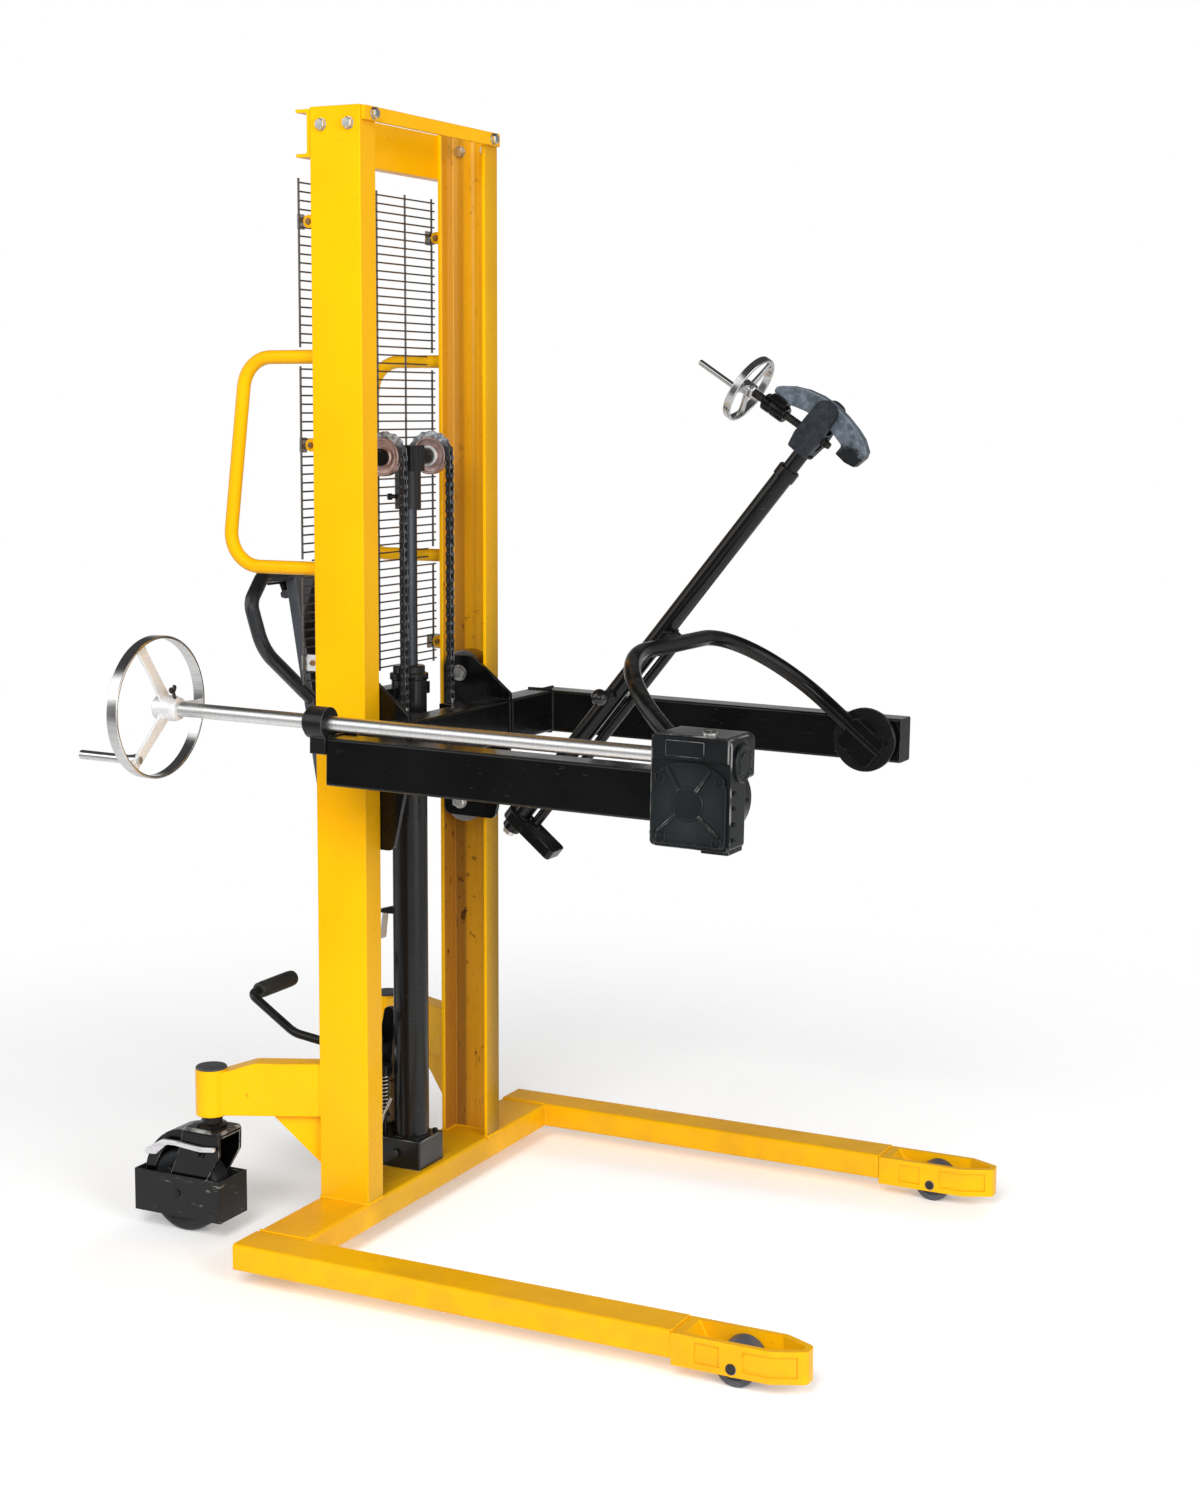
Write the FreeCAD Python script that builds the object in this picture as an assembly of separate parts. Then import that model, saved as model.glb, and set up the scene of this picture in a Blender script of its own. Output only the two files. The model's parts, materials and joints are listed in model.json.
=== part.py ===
import FreeCAD, Part
import math
import os

# Manual drum tipper: a straddle-leg mast truck with a chain-lifted carriage
# that carries a worm-driven tilting cradle.  Millimetres.  Built in a machine
# frame (X forward along the legs, Y across with the crank side negative,
# Z up, X = 0 at the front face of the mast, Y = 0 at mid width, Z = 0 on the
# floor), then shifted so that the origin is the bottom centre of the box.

V = FreeCAD.Vector

# ------------------------------------------------------------ dimensions
ORIGIN_X, ORIGIN_Y = 241.343, -5.75

BASE_Z0, BASE_Z1, BASE_WALL = 30.0, 76.0, 5.0   # base tubes
LEG_IN, LEG_OUT = 425.0, 500.0         # leg faces from mid width
LEG_REAR, LEG_END = -100.0, 705.0
YOKE_TIP = 920.0
ROLLER_X, ROLLER_Z, ROLLER_R, ROLLER_W = 806.0, 34.0, 34.0, 48.0

MAST_DEPTH, MAST_FLANGE, MAST_HALF = 100.0, 48.0, 235.0
MAST_WEB, MAST_FT = 5.3, 7.5
MAST_TOP = 1968.0
HANDLE_Y, HANDLE_R, HANDLE_ZT, HANDLE_ZB = 211.0, 12.0, 1551.0, 1187.0

CYL_X = -54.0                          # lift cylinder axis
CYL_R, CYL_RI, CYL_Z0, CYL_Z1 = 32.0, 25.0, 130.0, 976.0
ROD_R = 16.0
PULLEY_Z, PULLEY_Y, PULLEY_R = 1378.0, 80.0, 34.0
CHAIN_R0, CHAIN_R1, CHAIN_HALF = 34.4, 44.0, 6.0

TRUN_X, TRUN_Z = 700.0, 873.0          # tilting axis
DROOP = 1.0                            # arms slope down to the front, degrees
TILT = 39.2                            # cradle tilt in the modelled pose
ARM_IN, ARM_OUT, ARM_H = 346.0, 400.0, 40.0
ARM_REAR, ARM_FRONT = -670.0, -67.0    # near arm, in the arm frame
BEAM_X0, BEAM_X1, BEAM_Z0, BEAM_Z1 = 3.0, 57.0, 845.0, 925.0
PLATE_Y0, PLATE_Y1 = 175.0, 185.0
GUIDE_X, GUIDE_ZT, GUIDE_ZB, GUIDE_R = -50.0, 970.0, 727.0, 41.8

WORM_C, WORM_Y = 63.0, -390.0          # worm above the wheel, and its plane
WHEEL_TEETH, MODULE = 30, 3.0
SHAFT_R = 12.5                         # crank shaft
HW_X, HW_R = -1022.0, 123.0            # big handwheel, in the arm frame
CRANK_A, CRANK_R = 235.0, 103.0        # crank pin on the handwheel

POLE_X, POLE_R, POLE_RI = -325.0, 17.0, 13.55
HOOP_Y, HOOP_BEND, HOOP_TUBE, HOOP_Z = 312.0, 200.0, 14.0, 8.0
PLUNGER_Z = -135.0
PIVOT = (-330.0, 485.5)                # jaw pivot, in the cradle frame
SCREW_TILT = 6.0                       # clamp screw slope, degrees
SCREW_P = (-340.0, 439.4)
SCREW_HW = -127.0                      # small handwheel along the screw

CAST_X, CAST_Y = -288.0, 295.0         # caster swivel axis
CWHEEL_X, CWHEEL_R = -337.0, 75.0
BRAKE_X, BRAKE_Z = -292.0, 152.0

GUARD_X = -130.0                       # wire guard plane
TILLER_X, TILLER_Z, TILLER_LEAN = -150.0, 290.0, 9.0
RELEASE_W, RELEASE_X = 846.0, -20.5    # release lever pivot on the tiller
PEDAL_X, PEDAL_Z = -125.0, 335.0
GRIP_X, GRIP_Z = -290.0, 405.0

# ------------------------------------------------------------ helpers


def box(x0, x1, y0, y1, z0, z1):
    return Part.makeBox(x1 - x0, y1 - y0, z1 - z0, V(x0, y0, z0))


def cyl(p, d, r, length):
    return Part.makeCylinder(r, length, V(*p), V(*d))


def cyl_x(y, z, r, x0, x1):
    return cyl((x0, y, z), (1, 0, 0), r, x1 - x0)


def cyl_y(x, z, r, y0, y1):
    return cyl((x, y0, z), (0, 1, 0), r, y1 - y0)


def cyl_z(x, y, r, z0, z1):
    return cyl((x, y, z0), (0, 0, 1), r, z1 - z0)


def corner_edges(points, radii, closed):
    """Line runs joined by tangent arcs."""
    pts = [V(*p) for p in points]
    n = len(pts)
    ends = []
    for i, p in enumerate(pts):
        r = radii[i] if isinstance(radii, (list, tuple)) else radii
        if r <= 0 or (not closed and i in (0, n - 1)):
            ends.append((p, None, p))
            continue
        a = (pts[i - 1] - p).normalize()
        b = (pts[(i + 1) % n] - p).normalize()
        half = a.getAngle(b) / 2.0
        t = r / math.tan(half)
        bis = (a + b).normalize()
        ends.append((p + a * t, p + bis * (r / math.sin(half) - r), p + b * t))
    edges = []
    for i in range(n):
        t1, m, t2 = ends[i]
        if m is not None:
            edges.append(Part.Arc(t1, m, t2).toShape())
        if i < n - 1 or closed:
            q = ends[(i + 1) % n][0]
            if (q - t2).Length > 1e-6:
                edges.append(Part.LineSegment(t2, q).toShape())
    return edges


def prism(points, radii, direction):
    """Closed outline with rounded corners, extruded."""
    face = Part.Face(Part.Wire(corner_edges(points, radii, True)))
    return face.extrude(V(*direction))


def prism_y(xz, radii, y0, y1):
    return prism([(x, y0, z) for x, z in xz], radii, (0, y1 - y0, 0))


def prism_z(xy, radii, z0, z1):
    return prism([(x, y, z0) for x, y in xy], radii, (0, 0, z1 - z0))


def prism_x(yz, radii, x0, x1):
    return prism([(x0, y, z) for y, z in yz], radii, (x1 - x0, 0, 0))


def rect(a0, a1, b0, b1):
    return [(a0, b0), (a1, b0), (a1, b1), (a0, b1)]


def sweep(points, radii, r):
    """Round bar along straight runs joined by arcs."""
    path = Part.Wire(corner_edges(points, radii, False))
    d = (V(*points[1]) - V(*points[0])).normalize()
    ring = Part.Wire(Part.Circle(V(*points[0]), d, r).toShape())
    return path.makePipeShell([ring], True, False)


def turn_y(shape, degrees, x, z):
    """Local frame turned about Y, into the machine frame."""
    s = shape.copy()
    s.rotate(V(0, 0, 0), V(0, 1, 0), degrees)
    s.translate(V(x, 0, z))
    return s


def in_arm(shape):
    return turn_y(shape, DROOP, TRUN_X, TRUN_Z)


def in_cradle(shape):
    return turn_y(shape, TILT, TRUN_X, TRUN_Z)


def in_tiller(shape):
    return turn_y(shape, -TILLER_LEAN, TILLER_X, TILLER_Z)


def mirror_y(shape):
    return shape.mirror(V(0, 0, 0), V(0, 1, 0))


def circles(shape, low=0.0):
    return [e for e in shape.Edges if e.Curve.TypeId == "Part::GeomCircle" and e.Curve.Radius > low]


def span(s, a, b):
    """a..b on the far side, mirrored on the near side."""
    return (a, b) if s > 0 else (-b, -a)


def hex_head(p, d, across, h):
    """Hexagon bolt head on its washer, standing on p along d."""
    r = across / math.sqrt(3.0)
    pts = [(r * math.cos(math.radians(60 * k)), r * math.sin(math.radians(60 * k)), 1.8) for k in range(6)]
    head = prism(pts, 0, (0, 0, h))
    head = head.common(Part.makeCone(across * 0.5 + h * 1.75, across * 0.5, h, V(0, 0, 1.8), V(0, 0, 1)))
    head = head.fuse(Part.makeCylinder(across * 0.62, 1.8)).removeSplitter()
    head.Placement = FreeCAD.Placement(V(*p), FreeCAD.Rotation(V(0, 0, 1), V(*d)))
    return head


parts = {}


def put(name, *shapes):
    parts.setdefault(name, []).extend(shapes)


# ------------------------------------------------------------ base
bw = BASE_WALL
put("cross_beam", prism_y(rect(-MAST_DEPTH, 0, BASE_Z0, BASE_Z1), 6, -LEG_IN, LEG_IN).cut(
    prism_y(rect(-MAST_DEPTH + bw, -bw, BASE_Z0 + bw, BASE_Z1 - bw), 2, -LEG_IN - 1, LEG_IN + 1)))

leg = prism_x(rect(-LEG_OUT, -LEG_IN, BASE_Z0, BASE_Z1), 6, LEG_REAR, LEG_END).cut(
    prism_x(rect(-LEG_OUT + bw, -LEG_IN - bw, BASE_Z0 + bw, BASE_Z1 - bw), 2, LEG_REAR + 6, LEG_END + 1))
put("legs", leg, mirror_y(leg))

YM = (LEG_IN + LEG_OUT) / 2
yoke = prism_z(rect(LEG_END, YOKE_TIP, -LEG_OUT, -LEG_IN), [3, 34, 34, 3], 22, 73)
pocket = prism_z(rect(752, YOKE_TIP - 11, -LEG_OUT + 10, -LEG_IN - 10), [4, 25, 25, 4], 10, 90)
ramp = prism_y([(722, 74), (770, 74), (770, 30), (752, 30)], 0, -LEG_OUT + 10, -LEG_IN - 10)
yoke = yoke.cut(pocket).cut(ramp)
for y0, y1 in ((-LEG_OUT - 1, -LEG_OUT + 2.2), (-LEG_IN - 2.2, -LEG_IN + 1)):
    yoke = yoke.cut(prism_y(rect(742, 782, 31, 63), 4, y0, y1))
    yoke = yoke.cut(prism_y(rect(830, 884, 31, 63), 4, y0, y1))
yoke = yoke.cut(cyl_y(ROLLER_X, ROLLER_Z, 9.05, -LEG_OUT - 5, -LEG_IN + 5))
plug = prism_x(rect(-LEG_OUT + bw + 0.4, -LEG_IN - bw - 0.4, BASE_Z0 + bw + 0.4, BASE_Z1 - bw - 0.4), 2.5, LEG_END - 50, LEG_END)
yoke = yoke.fuse(plug).removeSplitter()
put("leg_yokes", yoke, mirror_y(yoke))

axle = cyl_y(ROLLER_X, ROLLER_Z, 9.0, -LEG_OUT - 1.5, -LEG_IN + 1.5)
put("axle_pins", axle, mirror_y(axle), cyl_y(TILLER_X, TILLER_Z, 8.0, -50, 50))

w = ROLLER_W / 2
roll = cyl_y(ROLLER_X, ROLLER_Z, ROLLER_R, -YM - w, -YM + w)
roll = roll.makeFillet(3.0, circles(roll))
for y0, y1 in ((-YM - w - 1, -YM - w + 3), (-YM + w - 3, -YM + w + 1)):
    roll = roll.cut(cyl_y(ROLLER_X, ROLLER_Z, 23, y0, y1).cut(cyl_y(ROLLER_X, ROLLER_Z, 14, y0, y1)))
roll = roll.cut(cyl_y(ROLLER_X, ROLLER_Z, 9.06, -YM - 40, -YM + 40))
put("front_roller_near", roll)
put("front_roller_far", mirror_y(roll))

# ------------------------------------------------------------ mast
y0, y1 = -MAST_HALF, -MAST_HALF + MAST_FLANGE
yi = y0 + MAST_WEB
channel = prism_z([(-MAST_DEPTH, y0), (0, y0), (0, y1), (-MAST_FT, y1), (-MAST_FT, yi), (-MAST_DEPTH + MAST_FT, yi),
                   (-MAST_DEPTH + MAST_FT, y1), (-MAST_DEPTH, y1)],
                  [2.5, 2.5, 0.8, 3, 3, 3, 3, 0.8], BASE_Z1, MAST_TOP)
tabs = []
for z in (1780.0, 1400.0, 1023.0):
    tab = prism_y([(-MAST_DEPTH, z - 11), (-MAST_DEPTH, z + 11), (-128.2, z + 11), (-128.2, z - 11)], [0, 0, 10, 10], -215, -208)
    tabs.append(tab.cut(cyl_y(-117, z, 4.2, -220, -200)))
put("mast_channel_near", channel, *tabs)
put("mast_channel_far", mirror_y(channel), *[mirror_y(t) for t in tabs])

front_bar = prism_x(rect(-231, 231, 1943, 1967), 2, 0, 8)
rear_tie = prism_y([(-100, 1885), (-100, 1965), (-128, 1965), (-128, 1959), (-106, 1959), (-106, 1891), (-128, 1891), (-128, 1885)],
                   [1, 1, 1.5, 1.5, 4, 4, 1.5, 1.5], -MAST_HALF, MAST_HALF)
put("mast_ties", front_bar, rear_tie)

for s in (-1, 1):
    put("frame_bolts", hex_head((8, s * 205, 1955), (1, 0, 0), 17, 7))
    for x in (-76, -22):
        put("frame_bolts", hex_head((x, s * MAST_HALF, 1938), (0, s, 0), 17, 7))
        put("frame_bolts", hex_head((x, -s * yi, 1938), (0, -s, 0), 17, 9))
    for z in (1908, 1942):
        put("frame_bolts", hex_head((-106, s * 212, z), (-1, 0, 0), 17, 7))

# ------------------------------------------------------------ outriggers
A = V(-100.0, -212.0, 0)
C = V(CAST_X, -CAST_Y, 0)
u = C - A
OUT_L = u.Length
u.normalize()
nrm = V(-u.y, u.x, 0)


def slab(sz, radii, t):
    """Plate of thickness 2t standing along the outrigger's line in plan."""
    pts = []
    for s, z in sz:
        p = A + u * s - nrm * t
        pts.append((p.x, p.y, z))
    return prism(pts, radii, tuple(nrm * (2 * t)))


arm = slab([(-40, 214), (-40, 322), (92, 322), (OUT_L, 290), (OUT_L, 206)], [0, 0, 40, 0, 0], 19.0)
arm = arm.fuse(slab([(-40, 214), (76, 214), (-40, 92)], 0, 5.0))
arm = arm.cut(box(-100, 60, -400, 0, 0, 500))
arm = arm.fuse(cyl_z(CAST_X, -CAST_Y, 28.5, 202, 300)).cut(cyl_z(CAST_X, -CAST_Y, 16.05, 150, 400)).removeSplitter()
put("outriggers", arm, mirror_y(arm))

# ------------------------------------------------------------ push handles
hpath = [(-100, -HANDLE_Y, HANDLE_ZT), (-252, -HANDLE_Y, HANDLE_ZT), (-296, -HANDLE_Y, HANDLE_ZB), (-100, -HANDLE_Y, HANDLE_ZB)]
grip = sweep(hpath, 58, HANDLE_R).cut(sweep(hpath, 58, HANDLE_R - 2.5))
put("push_handles", grip, mirror_y(grip))

# ------------------------------------------------------------ wire guard
GUARD_Z0, GUARD_Z1 = 984.0, 1853.0
z = 990.0
while z < GUARD_Z1:
    near_handle = min(abs(z - HANDLE_ZT), abs(z - HANDLE_ZB)) < HANDLE_R + 3.0
    half = 195.0 if near_handle else 224.0
    put("mesh_guard", cyl_y(GUARD_X, z, 1.5, -half, half))
    z += 15.0
for y in (-125, -28, 28, 125):
    put("mesh_guard", cyl_z(GUARD_X - 3.5, y, 2.0, GUARD_Z0, GUARD_Z1))
for y in (-220, 220):
    for za, zb in ((GUARD_Z0, HANDLE_ZB - 16), (HANDLE_ZB + 16, HANDLE_ZT - 16), (HANDLE_ZT + 16, GUARD_Z1)):
        put("mesh_guard", cyl_z(GUARD_X - 3.5, y, 2.0, za, zb))

# ------------------------------------------------------------ hydraulics
pump = prism_z(rect(-112, -12, -43, 43), 4, BASE_Z1, CYL_Z0)
pump = pump.fuse(prism_z(rect(-182, -108, -36, 36), 6, 82, 214))
pump = pump.fuse(cyl_z(-150, 0, 19, 214, 255))
for s in (-1, 1):
    e0, e1 = span(s, 36, 46)
    ear = prism_y([(-176, 180), (-176, 296), (-162, 308), (-142, 312), (-134, 352), (-112, 352), (-112, 318), (-126, 180)],
                  [4, 10, 6, 8, 10, 10, 10, 4], e0, e1)
    pump = pump.fuse(ear.cut(cyl_y(TILLER_X, TILLER_Z, 8.05, -60, 60)))
pump = pump.fuse(cyl_y(PEDAL_X, PEDAL_Z, 14, -62, -36)).cut(cyl_y(PEDAL_X, PEDAL_Z, 8.05, -80, 80)).removeSplitter()
put("pump_unit", pump)

tube = cyl_z(CYL_X, 0, CYL_R, CYL_Z0, CYL_Z1)
tube = tube.fuse(prism_z(rect(-104, -66, -96, 96), 4, 940, 962))
tube = tube.cut(cyl_z(CYL_X, 0, CYL_RI, CYL_Z0 - 1, CYL_Z1 + 1)).removeSplitter()
put("cylinder_tube", tube)

gland = cyl_z(CYL_X, 0, 35, CYL_Z1, 988).fuse(cyl_z(CYL_X, 0, 29, 988, 1002)).fuse(cyl_z(CYL_X, 0, 24.9, 940, CYL_Z1))
gland = gland.cut(cyl_z(CYL_X, 0, ROD_R + 0.05, 900, 1100)).removeSplitter()
put("cylinder_gland", gland)

for s in (-1, 1):
    c = s * PULLEY_Y
    put("chain_rear", box(CYL_X - CHAIN_R1, CYL_X - CHAIN_R0, c - CHAIN_HALF, c + CHAIN_HALF, 962, PULLEY_Z))
    put("chain_front", box(CYL_X + CHAIN_R0, CYL_X + CHAIN_R1, c - CHAIN_HALF, c + CHAIN_HALF, BEAM_Z1, PULLEY_Z))

# ------------------------------------------------------------ crosshead
rod = cyl_z(CYL_X, 0, ROD_R, 345, 1340).fuse(cyl_z(CYL_X, 0, 24.92, 345, 385)).removeSplitter()
put("piston_rod", rod)
head = cyl_z(CYL_X, 0, 23.5, 1284, 1396).cut(cyl_z(CYL_X, 0, ROD_R + 0.05, 1270, 1340))
head = head.fuse(box(CYL_X - 21, CYL_X + 21, -24, 24, 1352, 1398))
head = head.fuse(cyl_y(CYL_X, PULLEY_Z, 15, -71.5, 71.5)).fuse(cyl_y(CYL_X, PULLEY_Z, 10.0, -96, 96))
for s in (-1, 1):
    head = head.fuse(cyl_y(CYL_X, PULLEY_Z, 15.5, *span(s, 88.6, 93)))
put("crosshead", head.removeSplitter())
for s, name in ((-1, "chain_pulley_near"), (1, "chain_pulley_far")):
    c = s * PULLEY_Y
    p = cyl_y(CYL_X, PULLEY_Z, PULLEY_R, c - 8, c + 8)
    p = p.makeChamfer(1.2, circles(p))
    for y0, y1 in ((c - 9, c - 5.5), (c + 5.5, c + 9)):
        p = p.cut(cyl_y(CYL_X, PULLEY_Z, 28, y0, y1).cut(cyl_y(CYL_X, PULLEY_Z, 17, y0, y1)))
    for k in range(5):
        a = math.radians(72 * k + 20)
        p = p.cut(cyl_y(CYL_X + 22.5 * math.cos(a), PULLEY_Z + 22.5 * math.sin(a), 3.6, c - 20, c + 20))
    p = p.cut(cyl_y(CYL_X, PULLEY_Z, 10.06, c - 20, c + 20))
    put(name, p)
    ring = cyl_y(CYL_X, PULLEY_Z, CHAIN_R1, c - CHAIN_HALF, c + CHAIN_HALF).cut(cyl_y(CYL_X, PULLEY_Z, CHAIN_R0, c - 20, c + 20))
    put("chain_wraps", ring.common(box(-200, 100, -200, 200, PULLEY_Z, PULLEY_Z + 100)))

# ------------------------------------------------------------ carriage
beam_solid = box(BEAM_X0, BEAM_X1, -ARM_IN, ARM_IN, BEAM_Z0, BEAM_Z1)
beam = prism_y(rect(BEAM_X0, BEAM_X1, BEAM_Z0, BEAM_Z1), 5, -ARM_IN, ARM_IN)
hollow = prism_y(rect(BEAM_X0 + 5, BEAM_X1 - 5, BEAM_Z0 + 5, BEAM_Z1 - 5), 2, -ARM_IN - 1, ARM_IN + 1)
for s in (-1, 1):
    beam = beam.fuse(prism_z(rect(-31, BEAM_X0 + 6, s * PULLEY_Y - 14, s * PULLEY_Y + 14), 2, 893, BEAM_Z1))
put("carriage_beam", beam.cut(hollow).removeSplitter())

outline = [(-84, 700), (-84, 1003), (-22, 1003), (BEAM_X1, 937), (BEAM_X1, 838), (24, 698)]
plate = prism_y(outline, [16, 26, 30, 3, 3, 12], -PLATE_Y1, -PLATE_Y0).cut(beam_solid)
for gz in (GUIDE_ZT, GUIDE_ZB):
    plate = plate.cut(cyl_y(GUIDE_X, gz, 12.6, -200, -150))
put("carriage_plates", plate, mirror_y(plate))
for s in (-1, 1):
    for gz, nm in ((GUIDE_ZT, "top"), (GUIDE_ZB, "low")):
        shank = cyl_y(GUIDE_X, gz, 12.5, *span(s, 174.9, 227.5))
        put("carriage_bolts", shank.fuse(hex_head((GUIDE_X, s * PLATE_Y0, gz), (0, -s, 0), 24, 8)).removeSplitter())
        g0, g1 = span(s, 189.5, 225.5)
        g = cyl_y(GUIDE_X, gz, GUIDE_R, g0, g1)
        g = g.makeFillet(2.5, circles(g)).cut(cyl_y(GUIDE_X, gz, 12.56, g0 - 5, g1 + 5))
        put("guide_roller_%s_%s" % ("near" if s < 0 else "far", nm), g)

# arms, in the drooping arm frame about the tilting axis
arm_n = prism_x(rect(-ARM_OUT, -ARM_IN, -ARM_H, ARM_H), 5, ARM_REAR, ARM_FRONT).cut(
    prism_x(rect(-ARM_OUT + 5, -ARM_IN - 5, -ARM_H + 5, ARM_H - 5), 2, ARM_REAR + 6, ARM_FRONT + 1))
arm_f = prism_x(rect(ARM_IN, ARM_OUT, -ARM_H, ARM_H), 5, ARM_REAR, 62).cut(
    prism_x(rect(ARM_IN + 5, ARM_OUT - 5, -ARM_H + 5, ARM_H - 5), 2, ARM_REAR + 6, 56))
arm_f = arm_f.cut(cyl_y(0, 0, 25.0, ARM_IN - 5, ARM_OUT + 5))
put("carriage_arms", in_arm(arm_n), in_arm(arm_f))

bush = cyl_y(0, 0, 24.95, ARM_IN, ARM_OUT).fuse(prism_y(
    [(46, 0), (0, 46), (-46, 0), (0, -46)], 14, ARM_OUT, ARM_OUT + 9))
bush = bush.cut(cyl_y(0, 0, 17.55, 300, 500)).removeSplitter()
pillow = cyl_x(WORM_Y, WORM_C, 27, -706, ARM_REAR).fuse(
    prism_x(rect(WORM_Y - 14, WORM_Y + 18, 12, WORM_C), 2, -700, ARM_REAR))
pillow = pillow.fuse(cyl_x(WORM_Y, WORM_C, 21, -712, -706)).cut(cyl_x(WORM_Y, WORM_C, SHAFT_R + 0.05, -800, -600)).removeSplitter()
put("shaft_bearings", in_arm(bush), in_arm(pillow))

# worm gearbox
gb = prism_y(rect(-67, 67, -70, 103), [8, 8, 26, 26], -428, -340)
gb = gb.cut(cyl_y(0, 0, 52, -440, -352)).cut(cyl_x(WORM_Y, WORM_C, 24, -60, 60))
gb = gb.fuse(cyl_x(WORM_Y, WORM_C, 31, 67, 73)).fuse(cyl_x(WORM_Y, WORM_C, 22, -73, -67))
gb = gb.cut(cyl_x(WORM_Y, WORM_C, SHAFT_R + 0.05, -80, -50)).cut(cyl_x(WORM_Y, WORM_C, 11.05, 50, 64))
gb = gb.fuse(cyl_y(0, 0, 50, -340, -338.5))
gb = gb.cut(cyl_y(0, 0, 17.55, -360, -300)).removeSplitter()
put("gearbox_housing", in_arm(gb))

cover = prism_y([(-54, -56), (54, -56), (54, 46), (26, 58), (-26, 58), (-54, 46)], [9, 9, 12, 20, 20, 12], -437, -428)
cover = cover.fuse(cyl_y(0, 0, 32, -439, -437))
for a in (45, 135, 225, 315):
    ca, sa = math.cos(math.radians(a)), math.sin(math.radians(a))
    cover = cover.fuse(prism_y([(30 * ca - 3 * sa, 30 * sa + 3 * ca), (30 * ca + 3 * sa, 30 * sa - 3 * ca),
                                (58 * ca + 2 * sa, 58 * sa - 2 * ca), (58 * ca - 2 * sa, 58 * sa + 2 * ca)], 0, -439.5, -437))
put("gearbox_cover", in_arm(cover.removeSplitter()))
for x, zz in ((-45, -30), (45, -30), (-30, -47), (30, -47), (-45, 30), (45, 30)):
    b = cyl((x, -437, zz), (0, -1, 0), 5.2, 4.5).cut(cyl((x, -439, zz), (0, -1, 0), 2.6, 5))
    put("carriage_bolts", in_arm(b))

# crank shaft, worm and big handwheel (about X' at the worm height)
put("drive_rod", in_arm(cyl_x(WORM_Y, WORM_C, SHAFT_R, HW_X + 7, -60)))

lead = math.pi * MODULE
core_r, tip_r, thick = 14.0, 20.4, 3.1
turns = 6
helix = Part.makeHelix(lead, lead * turns, core_r - 0.6)
prof = Part.makePolygon([V(core_r - 0.6, 0, -thick / 2 - 0.9), V(tip_r, 0, -thick / 2 + 0.5), V(tip_r, 0, thick / 2 - 0.5),
                         V(core_r - 0.6, 0, thick / 2 + 0.9), V(core_r - 0.6, 0, -thick / 2 - 0.9)])
thread = Part.Wire(helix).makePipeShell([prof], True, True)
worm = Part.makeCylinder(core_r, lead * turns + 8, V(0, 0, -4)).fuse(thread)
worm.translate(V(0, 0, -lead * turns / 2))
# laid along X' with a thread crest straight down in the wheel's plane
worm.rotate(V(0, 0, 0), V(0, 1, 0), 90)
worm.translate(V(0, WORM_Y, WORM_C))
worm = worm.fuse(cyl_x(WORM_Y, WORM_C, 11.0, -60, 62)).removeSplitter()
put("worm", in_arm(worm))

wheel = cyl_x(WORM_Y, WORM_C, 22, HW_X - 3, HW_X + 49)
wheel = wheel.fuse(cyl_x(WORM_Y, WORM_C, HW_R, HW_X - 11, HW_X + 11).cut(cyl_x(WORM_Y, WORM_C, HW_R - 5, HW_X - 30, HW_X + 30)))
for k in range(3):
    sp = box(HW_X - 2.5, HW_X + 2.5, -11, 11, 15, HW_R - 2)
    sp.rotate(V(0, 0, 0), V(1, 0, 0), CRANK_A + 120 * k - 90)
    sp.translate(V(0, WORM_Y, WORM_C))
    wheel = wheel.fuse(sp)
cy = WORM_Y + CRANK_R * math.cos(math.radians(CRANK_A))
cz = WORM_C + CRANK_R * math.sin(math.radians(CRANK_A))
wheel = wheel.fuse(cyl_x(cy, cz, 5.0, HW_X - 115, HW_X)).fuse(cyl_x(cy, cz, 9.0, HW_X - 10, HW_X))
wheel = wheel.cut(cyl_x(WORM_Y, WORM_C, SHAFT_R + 0.03, HW_X - 100, HW_X + 100)).removeSplitter()
put("handwheel", in_arm(wheel))
cg = cyl_x(cy, cz, 8.0, HW_X - 115, HW_X - 10.6)
cg = cg.makeFillet(1.5, circles(cg)).cut(cyl_x(cy, cz, 5.06, HW_X - 200, HW_X + 10))
put("crank_grip", in_arm(cg))

# ------------------------------------------------------------ cradle
pts = []
pitch_a = 2 * math.pi / WHEEL_TEETH
r_tip, r_root = 47.6, 41.4
for k in range(WHEEL_TEETH):
    a0 = math.pi / 2 + pitch_a * (k + 0.5)
    for r, d in ((r_root, -2.2 / r_root), (r_tip, -0.75 / r_tip), (r_tip, 0.75 / r_tip), (r_root, 2.2 / r_root)):
        pts.append((r * math.cos(a0 + d), r * math.sin(a0 + d)))
gear = prism_y(pts, 0, WORM_Y - 8, WORM_Y + 8)
gear = gear.fuse(cyl_y(0, 0, 28, WORM_Y - 20, WORM_Y + 20)).cut(cyl_y(0, 0, 17.53, -500, -300)).removeSplitter()
put("worm_wheel", in_arm(gear))

hub_n = cyl_y(0, 0, 17.5, -424, -327).fuse(cyl_y(0, 0, 58, -337.5, -327)).removeSplitter()
hub_f = cyl_y(0, 0, 17.5, 327, 420).fuse(cyl_y(0, 0, 58, 327, 337.5)).fuse(cyl_y(0, 0, 26, 410, 417)).removeSplitter()
put("trunnion_hubs", in_cradle(hub_n), in_cradle(hub_f))

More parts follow.
